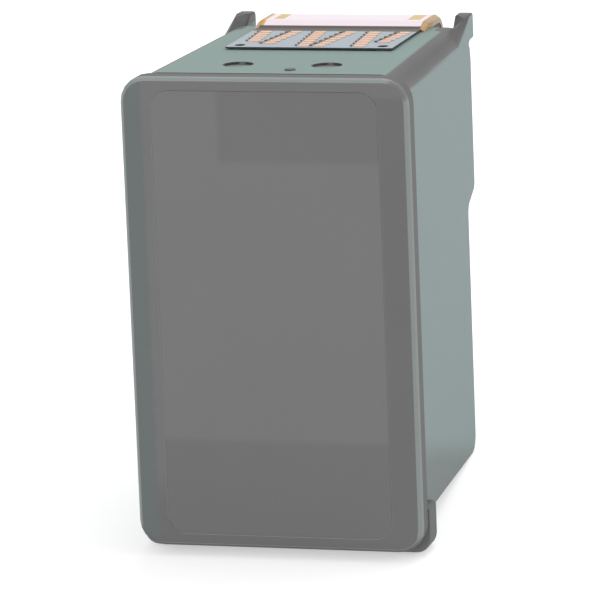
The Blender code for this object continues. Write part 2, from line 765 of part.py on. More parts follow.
def make_print_head():
    """Seal, silicon die and nozzle plate on each other, and a resin bead at each end of the window."""
    seal = die_stack_plate("die_seal", SEAL_FRONT, SEAL_THICKNESS)
    cut(seal, *ink_slots(SEAL_FRONT - OVERCUT, SEAL_FRONT + SEAL_THICKNESS + OVERCUT))
    die = die_stack_plate("print_die", DIE_FRONT, DIE_THICKNESS)
    cut(die, *ink_slots(DIE_FRONT - OVERCUT, DIE_FRONT + DIE_THICKNESS / 2))
    nozzle_plate = die_stack_plate("nozzle_plate", NOZZLE_PLATE_FRONT, NOZZLE_PLATE_THICKNESS)
    return [settle(seal), settle(die), settle(nozzle_plate)] + [settle(make_bead(side)) for side in (-1, 1)]


def make_bead(side):
    """Domed bead of resin over the leads at one end of the window."""
    name = "resin_bead_upper" if side > 0 else "resin_bead_lower"
    z = DIE_CENTRE + side * (DIE_LENGTH / 2 + WINDOW_MARGIN)
    back = FLEX_BACK + FILM_GAP
    profile = [
        (back + BEAD_HEIGHT * math.sin(angle), z + BEAD_WIDTH / 2 * math.cos(angle))
        for angle in (math.pi * step / BEAD_STEPS for step in range(BEAD_STEPS + 1))
    ]
    half = DIE_WIDTH / 2 + WINDOW_MARGIN
    return across(name, profile, lambda y: HEAD_OFFSET - half, lambda y: HEAD_OFFSET + half)


# Finishes


def finish(name, colour, roughness, metallic=0.0):
    """Plain finish of one material."""
    material = bpy.data.materials.new(name)
    material.use_nodes = True
    shader = material.node_tree.nodes["Principled BSDF"]
    shader.inputs["Base Color"].default_value = (*colour, 1.0)
    shader.inputs["Roughness"].default_value = roughness
    shader.inputs["Metallic"].default_value = metallic
    material.diffuse_color = (*colour, 1.0)
    return material


def dress(pieces, material):
    """Gives the pieces one material."""
    for piece in pieces:
        piece.data.materials.clear()
        piece.data.materials.append(material)


# Stance


def lower_hull(points):
    """Lowest points of a side view, front to back, that a straight edge below them would touch."""
    hull = []
    for y, z in sorted(points):
        while len(hull) > 1:
            (y0, z0), (y1, z1) = hull[-2:]
            if (y1 - y0) * (z - z0) > (z1 - z0) * (y - y0):
                break
            hull.pop()
        hull.append((y, z))
    return hull


def stand(pieces):
    """Leans the pieces back on the two edges they rest on, with the origin below the middle of their box."""
    points = [(v.co.y, v.co.z) for piece in pieces for v in piece.data.vertices]
    middle = (min(p[0] for p in points) + max(p[0] for p in points)) / 2
    hull = lower_hull(points)
    front, rear = next((a, b) for a, b in zip(hull, hull[1:]) if b[0] > middle)
    lean = math.atan2(rear[1] - front[1], rear[0] - front[0])
    turned = [
        (y * math.cos(lean) + z * math.sin(lean), z * math.cos(lean) - y * math.sin(lean))
        for y, z in points
    ]
    depths = [p[0] for p in turned]
    stance = bpy.data.objects.new("stance", None)
    bpy.context.scene.collection.objects.link(stance)
    stance.rotation_euler = (-lean, 0, 0)
    stance.location = (0, -(min(depths) + max(depths)) / 2, -min(p[1] for p in turned))
    for piece in pieces:
        piece.parent = stance


def clear_scene():
    """Empties the scene that the script starts in."""
    for old in list(bpy.data.objects):
        bpy.data.objects.remove(old)


def main():
    """Makes every piece, dresses it and stands the cartridge on the ground."""
    clear_scene()
    housing = make_housing()
    lid = make_lid()
    label = make_label()
    foams = [make_foam(chamber) for chamber in CHAMBERS]
    screens = [make_screen(chamber) for chamber in CHAMBERS]
    flex = make_flex_circuit()
    seal, die, nozzle_plate, *beads = make_print_head()
    dress([housing, lid], finish("moulded plastic", (0.22, 0.26, 0.25), 0.45))
    dress([label], finish("label film", (0.19, 0.19, 0.19), 0.4))
    dress(foams, finish("foam", (0.55, 0.52, 0.45), 0.95))
    dress(screens, finish("steel mesh", (0.55, 0.55, 0.56), 0.4, 1.0))
    dress([flex], finish("polyimide film", (0.62, 0.36, 0.10), 0.3))
    dress([die], finish("silicon", (0.12, 0.12, 0.14), 0.2, 0.6))
    dress([nozzle_plate], finish("plated nickel", (0.78, 0.66, 0.40), 0.25, 1.0))
    dress([seal], finish("adhesive", (0.20, 0.19, 0.17), 0.5))
    dress(beads, finish("resin", (0.10, 0.07, 0.04), 0.25))
    stand([housing, lid, label, *foams, *screens, flex, seal, die, nozzle_plate, *beads])


main()
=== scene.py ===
"""Looks of an ink cartridge with its print head built in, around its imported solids.

Lengths are in millimetres in the cartridge's own upright frame: X across the lid, Y back from the
lid's face, Z up to the contact wall. A Stance leans that frame back, as the cartridge stands.
"""

import logging
import math
from dataclasses import dataclass
from enum import Enum
from functools import reduce

import bmesh
import bpy
from mathutils import Matrix, Vector


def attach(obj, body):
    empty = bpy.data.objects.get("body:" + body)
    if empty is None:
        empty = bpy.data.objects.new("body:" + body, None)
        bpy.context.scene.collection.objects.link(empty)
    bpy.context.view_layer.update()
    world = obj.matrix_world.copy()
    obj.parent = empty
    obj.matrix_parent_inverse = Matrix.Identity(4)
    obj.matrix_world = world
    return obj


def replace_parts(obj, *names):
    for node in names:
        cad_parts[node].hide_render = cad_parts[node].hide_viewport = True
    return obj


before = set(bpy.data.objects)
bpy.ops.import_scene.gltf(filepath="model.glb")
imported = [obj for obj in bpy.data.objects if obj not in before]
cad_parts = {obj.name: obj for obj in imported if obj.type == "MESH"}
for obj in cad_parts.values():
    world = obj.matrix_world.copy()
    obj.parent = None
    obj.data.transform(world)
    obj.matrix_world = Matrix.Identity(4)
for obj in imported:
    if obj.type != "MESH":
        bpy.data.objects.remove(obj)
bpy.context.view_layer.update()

LOG = logging.getLogger("cartridge")
MM = 0.001
WELD = 1e-6
FLAT_ANGLE = math.radians(0.4)
SHARP_ANGLE = math.radians(32)
PIECE_SHARP_ANGLE = math.radians(40)

Colour = tuple[float, float, float]
Point = tuple[float, float]
Span = tuple[float, float]
Place = tuple[float, float, float]
Socket = bpy.types.NodeSocket

OVER_ONE = 1.001  # keeps a divisor above zero
WHITE: Colour = (1.0, 1.0, 1.0)
BLACK: Colour = (0.0, 0.0, 0.0)


class Slot(Enum):
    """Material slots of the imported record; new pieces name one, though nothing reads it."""

    PLASTIC = "moulded_plastic"
    LABEL = "label_film"
    FILM = "polyimide_film"
    NOZZLES = "plated_nickel"
    RESIN = "resin"


class Chamber(Enum):
    """Chambers of the ink store."""

    UPPER = "upper"
    LEFT = "left"
    RIGHT = "right"


@dataclass(frozen=True)
class Stance:
    """How the cartridge's own frame stands on the ground.

    Attributes:
        lean: Angle in degrees by which it leans back.
        shift: How far it moves after that, in millimetres.
    """

    lean: float = 7.182841
    shift: Place = (0.0, -25.3324, 1.3205)

    def matrix(self) -> Matrix:
        """Own frame in millimetres to the ground's frame in millimetres."""
        return Matrix.Translation(self.shift) @ Matrix.Rotation(math.radians(-self.lean), 4, "X")


STANCE = Stance()


@dataclass(frozen=True)
class ContactWall:
    """Height of the contact wall and of the bed that the circuit lies on.

    Attributes:
        top: Height of the wall at the seam.
        seam: Depth of the seam between lid and housing.
        draft: Slope of the wall in degrees.
        lead: How far in front of the ramp the bed's line starts.
        foot: Depth at which the bed's ramp starts.
        crest: Depth at which the ramp ends.
        rise: How far the headland stands above the wall.
        back: Depth of the headland's back.
        corner: Radius of the headland's edge.
        ramp_corner: Radius of the ramp's two bends.
        end: Height at which the bed ends.
        film_top: How far the film's face lies above the bed.
        middle: X of the bed's middle.
        ramp_steps: Number of steps round each of the ramp's bends.
        corner_steps: Number of steps round the headland's edge.
    """

    top: float = 56.1
    seam: float = 2.8
    draft: float = 0.92
    lead: float = 1.0
    foot: float = 33.4
    crest: float = 35.6
    rise: float = 0.65
    back: float = 42.75
    corner: float = 2.6
    ramp_corner: float = 1.0
    end: float = 37.8
    film_top: float = 0.35
    middle: float = 0.4
    ramp_steps: int = 3
    corner_steps: int = 10

    def height(self, y: float) -> float:
        """Height of the wall at a depth."""
        return self.top - math.tan(math.radians(self.draft)) * (y - self.seam)

    def film(self, y: float) -> float:
        """Height of the film's face on the wall at a depth."""
        return self.height(y) + self.film_top

    def bed(self) -> list[tuple[Vector, Vector]]:
        """Line along the bed, from the ramp's foot to its end.

        Returns:
            Its points as Y and Z, each with its outward normal.
        """
        start = self.foot - self.lead
        crest = self.height(self.crest) + self.rise
        brow = self.height(self.back) + self.rise
        corners = (
            (Vector((start, self.height(start))), 0.0),
            (Vector((self.foot, self.height(self.foot))), self.ramp_corner),
            (Vector((self.crest, crest)), self.ramp_corner),
            (Vector((self.back, brow)), self.corner),
            (Vector((self.back, self.end)), 0.0),
        )
        points = []
        for (before, _), (corner, radius), (after, _) in zip(corners, corners[1:], corners[2:]):
            arriving, leaving = (corner - before).normalized(), (after - corner).normalized()
            turn = arriving.angle_signed(leaving)
            reach = radius * abs(math.tan(turn / 2))
            side = math.copysign(1.0, turn)
            centre = corner - arriving * reach + Vector((arriving.y, -arriving.x)) * side * radius
            steps = self.ramp_steps if radius < self.corner else self.corner_steps
            for step in range(steps + 1):
                way = Matrix.Rotation(-turn * step / steps, 2) @ arriving
                normal = Vector((-way.y, way.x))
                points.append((centre + normal * radius * side, normal))
        points.append((corners[-1][0], Vector((1.0, 0.0))))
        return points


WALL = ContactWall()


def rounded(centre: Point, size: Point, radius: float, inset: float = 0.0, steps: int = 5) -> list[Point]:
    """Points round a rounded rectangle.

    Args:
        centre: Its middle.
        size: Its two sides.
        radius: Radius of its corners.
        inset: How far the points lie inside its edge.
        steps: Points on each corner.

    Returns:
        The points.
    """
    points = []
    radius -= inset
    for quarter, (sx, sy) in enumerate(((1, 1), (-1, 1), (-1, -1), (1, -1))):
        for step in range(steps):
            angle = math.pi / 2 * (quarter + step / (steps - 1))
            points.append((
                centre[0] + sx * (size[0] / 2 - inset - radius) + radius * math.cos(angle),
                centre[1] + sy * (size[1] / 2 - inset - radius) + radius * math.sin(angle),
            ))
    return points


class Nodes:
    """Node tree, built a node at a time."""

    def __init__(self, tree: bpy.types.NodeTree) -> None:
        """Takes over a tree's nodes and links."""
        self.nodes = tree.nodes
        self.links = tree.links

    def add(self, kind: str, **settings: object) -> bpy.types.Node:
        """Adds a node.

        Args:
            kind: Type of the node, without its ShaderNode prefix.
            settings: Properties of the node.

        Returns:
            The node.
        """
        node = self.nodes.new("ShaderNode" + kind)
        for key, value in settings.items():
            setattr(node, key, value)
        return node

    def feed(self, socket: Socket, value: object) -> None:
        """Links a socket to another one, or sets its value.

        Args:
            socket: Input that is fed.
            value: Output socket, number or tuple.
        """
        if isinstance(value, bpy.types.NodeSocket):
            self.links.new(value, socket)
        else:
            socket.default_value = value

    def math(self, operation: str, first: object, second: object = 0.0) -> Socket:
        """Result of a Math node.

        Args:
            operation: Name of the operation.
            first: First operand.
            second: Second operand.

        Returns:
            The result's socket.
        """
        node = self.add("Math", operation=operation)
        self.feed(node.inputs[0], first)
        self.feed(node.inputs[1], second)
        return node.outputs[0]

    def ramp(self, value: Socket, low: float, high: float) -> Socket:
        """Smooth step from 0 at low to 1 at high.

        Args:
            value: Socket that is mapped.
            low: Value that gives 0.
            high: Value that gives 1.

        Returns:
            The share's socket.
        """
        node = self.add("MapRange", interpolation_type="SMOOTHSTEP")
        self.feed(node.inputs["Value"], value)
        node.inputs["From Min"].default_value = low
        node.inputs["From Max"].default_value = high
        return node.outputs["Result"]

    def scale(self, value: Socket, low: float, high: float) -> Socket:
        """Maps 0 to 1 onto a range.

        Args:
            value: Socket that is mapped.
            low: Result for 0.
            high: Result for 1.

        Returns:
            The result's socket.
        """
        node = self.add("MapRange")
        self.feed(node.inputs["Value"], value)
        node.inputs["To Min"].default_value = low
        node.inputs["To Max"].default_value = high
        return node.outputs["Result"]

    def mix(self, share: object, first: object, second: object, blend: str = "MIX") -> Socket:
        """Mixes two colours.

        Args:
            share: Share of the second colour.
            first: First colour.
            second: Second colour.
            blend: Way of mixing.

        Returns:
            The mixed colour's socket.
        """
        node = self.add("Mix", data_type="RGBA", blend_type=blend)
        self.feed(node.inputs[0], share)
        for socket, value in ((node.inputs[6], first), (node.inputs[7], second)):
            self.feed(socket, (*value, 1.0) if isinstance(value, tuple) else value)
        return node.outputs[2]

    def every(self, *shares: object) -> Socket:
        """Product of several shares."""
        return reduce(lambda first, second: self.math("MULTIPLY", first, second), shares)

    def most(self, *values: Socket) -> Socket:
        """Greatest of several values."""
        return reduce(lambda first, second: self.math("MAXIMUM", first, second), values)

    def seen(self) -> Socket:
        """Share that is 1 for what the camera and mirrors see."""
        path = self.add("LightPath")
        return self.most(path.outputs["Is Camera Ray"], path.outputs["Is Glossy Ray"])


class Graph(Nodes):
    """Nodes of one material, in front of its Principled shader."""

    def __init__(self, name: str) -> None:
        """Starts the material with its shader.

        Args:
            name: Name of the material.
        """
        self.material = bpy.data.materials.new(name)
        self.material.use_nodes = True
        super().__init__(self.material.node_tree)
        self.shader = self.nodes["Principled BSDF"]

    def place(self) -> Socket:
        """Adds the position in the cartridge's own frame, in millimetres.

        Returns:
            The position's socket.
        """
        coordinates = self.add("TexCoord")
        upright = self.add("Mapping", vector_type="TEXTURE")
        self.links.new(coordinates.outputs["Object"], upright.inputs["Vector"])
        upright.inputs["Location"].default_value = [MM * value for value in STANCE.shift]
        upright.inputs["Rotation"].default_value = (math.radians(-STANCE.lean), 0.0, 0.0)
        upright.inputs["Scale"].default_value = (MM, MM, MM)
        return upright.outputs["Vector"]

    def upright_normal(self) -> Socket:
        """Adds the normal in the cartridge's own frame.

        Returns:
            The normal's socket.
        """
        turn = self.add("VectorRotate", rotation_type="X_AXIS")
        self.links.new(self.add("TexCoord").outputs["Normal"], turn.inputs["Vector"])
        turn.inputs["Angle"].default_value = math.radians(STANCE.lean)
        return turn.outputs["Vector"]

    def axes(self, vector: Socket) -> tuple[Socket, Socket, Socket]:
        """Splits a vector.

        Args:
            vector: The vector.

        Returns:
            The sockets of its three components.
        """
        node = self.add("SeparateXYZ")
        self.links.new(vector, node.inputs[0])
        return tuple(node.outputs)

    def noise(self, vector: Socket, grain: float, detail: float = 2.0) -> Socket:
        """Noise from 0 to 1.

        Args:
            vector: Position in millimetres.
            grain: Size of its features in millimetres.
            detail: How many finer layers it has.

        Returns:
            The noise's socket.
        """
        node = self.add("TexNoise")
        self.links.new(vector, node.inputs["Vector"])
        node.inputs["Scale"].default_value = 1.0 / grain
        node.inputs["Detail"].default_value = detail
        return node.outputs["Fac"]

    def waver(self, value: Socket, place: Socket, grain: float, reach: float) -> Socket:
        """Value that wavers along the surface, by a reach to each side and in waves of a grain's size."""
        return self.math("ADD", value, self.scale(self.noise(place, grain), -reach, reach))

    def past(self, value: Socket, limit: float, soft: float) -> Socket:
        """Share that rises from 0 to 1 round a limit, over a soft distance to each side."""
        return self.ramp(value, limit - soft, limit + soft)

    def within(self, value: Socket, span: Span, soft: float) -> Socket:
        """Share that is 1 inside a span, with soft sides."""
        return self.every(self.past(value, span[0], soft), self.ramp(value, span[1] + soft, span[1] - soft))

    def tint(self, colour: Socket, noise: Socket, share: float, tone: Colour) -> Socket:
        """Colour that a noise turns towards white or black, by a share of it at most."""
        return self.mix(self.scale(noise, 0.0, share), colour, tone, "OVERLAY")

    def bump(self, height: Socket, depth: float, strength: float = 1.0) -> None:
        """Gives the shader a relief.

        Args:
            height: Relief from 0 to 1.
            depth: Depth of the relief in millimetres.
            strength: Strength of the relief.
        """
        node = self.add("Bump")
        node.inputs["Distance"].default_value = depth * MM
        node.inputs["Strength"].default_value = strength
        self.links.new(height, node.inputs["Height"])
        self.links.new(node.outputs["Normal"], self.shader.inputs["Normal"])

    def surface(self, **values: object) -> bpy.types.Material:
        """Feeds the shader's sockets.

        Args:
            values: Socket names, with underscores for blanks, and what they get.

        Returns:
            The material.
        """
        for key, value in values.items():
            if isinstance(value, tuple):
                value = (*value, 1.0)
            self.feed(self.shader.inputs[key.replace("_", " ")], value)
        return self.material


@dataclass(frozen=True)
class MouldedPlastic:
    """Moulded plastic, spark-eroded on its flats and smoother elsewhere, with light or shade painted into the
    colour of the smoother places.

    Attributes:
        name: Name of the material.
        flat: Colour of the flats.
        smooth_and_painted_light: Colour of the smoother places, which is painted light: painted shade on the
            housing, a painted highlight on the lid.
        grain: Size of the erosion's grain in millimetres.
        coat: Weight of the gloss on the smooth places.
        cloud: Size of the cloudy patches in millimetres.
        cloud_share: Greatest share by which the patches are paler.
        speck_share: Greatest share by which the grain's specks are darker.
        relief: Share of the erosion's relief on the flats and on the smooth places.
        roughness: Least and most roughness in the patches.
        finish: What the flats and the smooth places add to the roughness.
    """

    name: str
    flat: Colour
    smooth_and_painted_light: Colour
    grain: float = 0.22
    coat: float = 0.0
    cloud: float = 9.0
    cloud_share: float = 0.12
    speck_share: float = 0.1
    relief: Span = (1.0, 0.35)
    roughness: Span = (0.46, 0.54)
    finish: Span = (0.04, -0.1)

    def zones(self, graph: Graph, place: Socket, normal: Socket) -> tuple[Socket, Socket]:
        """Where the finish is smoother, and its colour with its painted light.

        Args:
            graph: The material's nodes.
            place: Position in the cartridge's own frame.
            normal: Normal in the cartridge's own frame.

        Returns:
            The share of the smooth finish and the colour.
        """
        raise NotImplementedError

    def build(self) -> bpy.types.Material:
        """Makes the material.

        Returns:
            The material.
        """
        graph = Graph(self.name)
        place = graph.place()
        # Share of the smoother finish with its painted light, and the colour
        smooth_and_painted_light, colour = self.zones(graph, place, graph.upright_normal())
        cloud = graph.noise(place, self.cloud, detail=3.0)
        speck = graph.noise(place, self.grain)
        colour = graph.tint(colour, cloud, self.cloud_share, WHITE)
        colour = graph.tint(colour, speck, self.speck_share, BLACK)
        graph.bump(graph.every(speck, graph.scale(smooth_and_painted_light, *self.relief)), depth=0.03, strength=0.5)
        roughness = graph.scale(cloud, *self.roughness)
        return graph.surface(
            Base_Color=colour,
            Roughness=graph.math("ADD", roughness, graph.scale(smooth_and_painted_light, *self.finish)),
            Specular_IOR_Level=0.3,
            Coat_Weight=graph.scale(smooth_and_painted_light, 0.0, self.coat) if self.coat else 0.0,
            Coat_Roughness=0.25,
        )


@dataclass(frozen=True)
class LidPlastic(MouldedPlastic):
    """Plastic of the lid: polished front edge with a painted highlight, walls darkened with painted shade, a
    paler rim and a painted cool reflection on the left.

    Attributes:
        painted_shade_walls: Colour of the walls, darkened as painted shade.
        face_turn: Share of the normal along the depth where the face ends and the polish and its painted
            highlight are full.
        wall_turn: Share of it where the polish and its painted highlight end and where the walls' painted
            shade begins.
        corner_turn: How far an edge turns at a corner where the polish and its painted highlight start and
            where they are full.
        long_taper: Share of a turn that counts at the corners where the polish and its painted highlight run
            on.
        polish_and_highlight_foot: Upward share of the normal where the polish and its painted highlight start
            and where they are full.
        pale: Colour of the rim left of the label and above it.
        pale_side: X where the pale rim starts and where it is full.
        pale_foot: Height where the pale rim starts and where it is full.
        pale_top: Height where the pale tone above the label starts and where it is full.
        left_painted_reflection: Colour along the left side, a painted reflection.
        left_reflection_side: X where the painted reflection starts and where it is full.
        left_reflection_waves: Size of the waves in its border, and how far they reach.
    """

    # Painted shade on the lid's side and top walls
    painted_shade_walls: Colour = (0.095, 0.096, 0.095)
    # Polish of the front edge, which carries a painted highlight
    face_turn: Span = (-0.985, -0.95)
    wall_turn: Span = (-0.35, -0.2)
    corner_turn: Span = (0.4, 0.08)
    long_taper: float = 0.4
    polish_and_highlight_foot: Span = (-0.6, -0.2)
    pale: Colour = (0.193, 0.194, 0.193)
    pale_side: Span = (-11.0, -13.2)
    pale_foot: Span = (5.0, 9.5)
    pale_top: Span = (53.4, 54.4)
    # Painted reflection: a cooler tone along the lid's left side
    left_painted_reflection: Colour = (0.160, 0.183, 0.179)
    left_reflection_side: Span = (-14.4, -15.0)
    left_reflection_waves: Span = (1.2, 0.5)

    def zones(self, graph: Graph, place: Socket, normal: Socket) -> tuple[Socket, Socket]:
        """Where the edge is polished and carries its painted highlight, and the colour with its painted light
        and shade.

        Args:
            graph: The material's nodes.
            place: Position in the cartridge's own frame.
            normal: Normal in the cartridge's own frame.

        Returns:
            The share of the polish and its painted highlight, and the colour.
        """
        across, depth, up = graph.axes(normal)
        spread = graph.math("SUBTRACT", OVER_ONE, graph.every(depth, depth))
        diagonal = graph.math("DIVIDE", graph.every(across, up), spread)
        corner = graph.most(diagonal, graph.every(diagonal, -self.long_taper))
        # Polished front edge with a painted highlight, faded at the corners and kept off edges that face down
        edge = graph.every(
            graph.ramp(depth, *self.face_turn),
            graph.ramp(depth, *reversed(self.wall_turn)),
            graph.ramp(corner, *self.corner_turn),
            graph.ramp(up, *self.polish_and_highlight_foot),
        )
        side, _, height = graph.axes(place)
        left = graph.every(graph.ramp(side, *self.pale_side), graph.ramp(height, *self.pale_foot))
        colour = graph.mix(graph.most(left, graph.ramp(height, *self.pale_top)), self.flat, self.pale)
        # Painted reflection along the left side
        border = graph.waver(side, place, *self.left_reflection_waves)
        colour = graph.mix(graph.ramp(border, *self.left_reflection_side), colour, self.left_painted_reflection)
        # Painted highlight on the polished front edge
        colour = graph.mix(edge, colour, self.smooth_and_painted_light)
        # Painted shade on the walls
        return edge, graph.mix(graph.ramp(depth, *self.wall_turn), colour, self.painted_shade_walls)


@dataclass(frozen=True)
class HousingPlastic(MouldedPlastic):
    """Plastic of the housing: smoother and dark on rounded edges, ears and the marks of the contact wall, the
    dark being painted shade on the edges, the ears' outer sides and the locating holes; painted light also on
    up-facing faces, the right wall's lower front and the lip.

    Attributes:
        top: Colour of up-facing faces such as the contact wall, a greener tone that is a painted reflection.
        dish: Colour of the dimples.
        foot: Colour of the right wall's lower front, darker towards the bottom: painted shade.
        lip_painted_shade: Colour of the lip, darkened as painted shade.
        lip_front_painted_light: Colour of its front, lightened as painted light against the lid's shade.
        edge_turn: Greatest component of the normal where an edge starts and where it is full.
        wall_turn: Component of it where the painted tone of up-facing faces and of the right wall starts and
            where it is full.
        front_turn: Component of it where the lip's front starts and where it is full.
        ear_turn: Outward component of it where an ear's smoother finish and painted shade start and where
            they are full.
        ear_rise: Height over the contact wall where an ear starts and where it is full.
        ear_side: Distance from the middle where it starts and where it is full.
        ear_depth: Depth where it starts and where it is full.
        mark_drop: Height over the contact wall where a mark in it starts and where it is full.
        mark_floor: Height where it ends and where it is full again.
        mark_side: Distance from the middle where the marks end and where they are full.
        dish_depth: Depth where the dimples end and where they are full, in front of the locating holes.
        stub_rise: Height over the contact wall where the gate's stub starts and where it is full.
        stub_depth: Depth where it ends and where it is full.
        lip_height: Height where the lip ends and where it is full.
        lip_depth: Depth where it ends and where it is full.
        painted_shade_slope: Fall of the painted shade's upper edge with depth.
        painted_shade_height: Height where the painted shade starts and where it is full, at the seam.
        painted_shade_waves: Size of the waves in its border, and how far they reach.
        painted_shade_share: Share of the painted shade's colour where it is full.
    """

    # Painted reflection: a greener tone on up-facing faces
    top: Colour = (0.196, 0.279, 0.257)
    dish: Colour = (0.2, 0.205, 0.2)
    # Painted shade on the right wall's lower front
    foot: Colour = (0.145, 0.169, 0.166)
    # Painted shade on the lip, and painted light on its front
    lip_painted_shade: Colour = (0.095, 0.106, 0.104)
    lip_front_painted_light: Colour = (0.255, 0.262, 0.257)
    edge_turn: Span = (0.995, 0.96)
    wall_turn: Span = (0.9, 0.97)
    front_turn: Span = (-0.4, -0.8)
    ear_turn: Span = (0.98, 0.9)
    ear_rise: Span = (-0.5, -0.3)
    ear_side: Span = (11.9, 12.1)
    ear_depth: Span = (34.0, 34.5)
    mark_drop: Span = (-0.06, -0.12)
    mark_floor: Span = (-1.4, -1.3)
    mark_side: Span = (11.2, 11.0)
    dish_depth: Span = (15.0, 14.9)
    stub_rise: Span = (0.03, 0.08)
    stub_depth: Span = (8.2, 8.0)
    lip_height: Span = (5.3, 5.1)
    lip_depth: Span = (7.5, 7.3)
    # Painted shade on the right wall's lower front
    painted_shade_slope: float = 0.254
    painted_shade_height: Span = (14.0, 9.6)
    painted_shade_waves: Span = (1.5, 0.4)
    painted_shade_share: float = 0.85

    def zones(self, graph: Graph, place: Socket, normal: Socket) -> tuple[Socket, Socket]:
        """Where the housing is smoother, and its colour with its painted light and shade.

        Args:
            graph: The material's nodes.
            place: Position in the cartridge's own frame.
            normal: Normal in the cartridge's own frame.

        Returns:
            The share of the smooth finish and the colour.
        """
        facing = graph.axes(normal)
        x, y, z = graph.axes(place)
        inside = graph.math("SUBTRACT", y, WALL.seam)
        fall = graph.every(inside, math.tan(math.radians(WALL.draft)))
        above = graph.math("ADD", graph.math("SUBTRACT", z, WALL.top), fall)
        across = graph.math("ABSOLUTE", x)
        # Outer sides of the ears: smoother, darkened with painted shade
        ear = graph.every(
            graph.ramp(above, *self.ear_rise),
            graph.ramp(across, *self.ear_side),
            graph.ramp(y, *self.ear_depth),
            graph.ramp(graph.every(graph.math("SIGN", x), facing[0]), *self.ear_turn),
        )
        mark = graph.every(
            graph.ramp(above, *self.mark_drop),
            graph.ramp(above, *self.mark_floor),
            graph.ramp(across, *self.mark_side),
        )
        dish = graph.every(mark, graph.ramp(y, *self.dish_depth))
        # Locating holes: darkened inside with painted shade
        hole = graph.every(mark, graph.ramp(y, *reversed(self.dish_depth)))
        stub = graph.every(graph.ramp(above, *self.stub_rise), graph.ramp(y, *self.stub_depth))
        lip = graph.every(graph.ramp(z, *self.lip_height), graph.ramp(y, *self.lip_depth))
        # Rounded edges: smoother, darkened with painted shade
        edges = graph.ramp(graph.most(*(graph.math("ABSOLUTE", axis) for axis in facing)), *self.edge_turn)
        edges = graph.every(edges, graph.math("SUBTRACT", 1.0, lip))
        smooth_and_painted_light = graph.most(edges, ear, hole, stub)
        # Painted shade on the right wall's lower front, below a wavy border that falls with depth
        border = graph.math("ADD", z, graph.every(inside, self.painted_shade_slope))
        border = graph.waver(border, place, *self.painted_shade_waves)
        right = graph.ramp(facing[0], *self.wall_turn)
        foot = graph.every(graph.ramp(border, *self.painted_shade_height), right, self.painted_shade_share)
        # Painted reflection: up-facing faces get a greener tone
        colour = graph.mix(graph.ramp(facing[2], *self.wall_turn), self.flat, self.top)
        colour = graph.mix(foot, colour, self.foot)
        front = graph.ramp(facing[1], *self.front_turn)
        # Painted shade on the lip, painted light on its front
        colour = graph.mix(lip, colour, graph.mix(front, self.lip_painted_shade, self.lip_front_painted_light))
        return smooth_and_painted_light, graph.mix(smooth_and_painted_light, graph.mix(dish, colour, self.dish), self.smooth_and_painted_light)


@dataclass(frozen=True)
class LabelFilm:
    """Bare label film: a satin print field, with a darker field at each end.

    Attributes:
        name: Name of the material.
        middle: Colour of the film.
        ends: Colour of the two darker fields.
        upper: Height where the upper field starts and where it is full.
        upper_side: X where the upper field starts and where it is full.
        lower: Height where the lower field starts and where it is full.
        waves: Size of the waves in the fields' borders, and how far they reach.
        cloud_share: Greatest share by which the cloudy patches are paler.
        speck_share: Greatest share by which the specks are darker.
        roughness: Least and most roughness.
    """

    name: str = "label film"
    middle: Colour = (0.19, 0.19, 0.19)
    ends: Colour = (0.166, 0.166, 0.166)
    upper: Span = (45.6, 46.8)
    upper_side: Span = (-6.1, -5.1)
    lower: Span = (13.6, 12.4)
    waves: Span = (0.8, 0.25)
    cloud_share: float = 0.08
    speck_share: float = 0.05
    roughness: Span = (0.36, 0.44)

    def build(self) -> bpy.types.Material:
        """Makes the material.

        Returns:
            The material.
        """
        graph = Graph(self.name)
        place = graph.place()
        across, _, height = graph.axes(place)
        border = graph.waver(height, place, *self.waves)
        upper = graph.every(graph.ramp(border, *self.upper), graph.ramp(across, *self.upper_side))
        colour = graph.mix(graph.most(upper, graph.ramp(border, *self.lower)), self.middle, self.ends)
        cloud = graph.noise(place, grain=14.0, detail=3.0)
        colour = graph.tint(colour, cloud, self.cloud_share, WHITE)
        colour = graph.tint(colour, graph.noise(place, grain=0.12, detail=1.0), self.speck_share, BLACK)
        graph.bump(graph.noise(place, grain=0.6), depth=0.01, strength=0.3)
        return graph.surface(
            Base_Color=colour, Roughness=graph.scale(cloud, *self.roughness), Specular_IOR_Level=0.4
        )


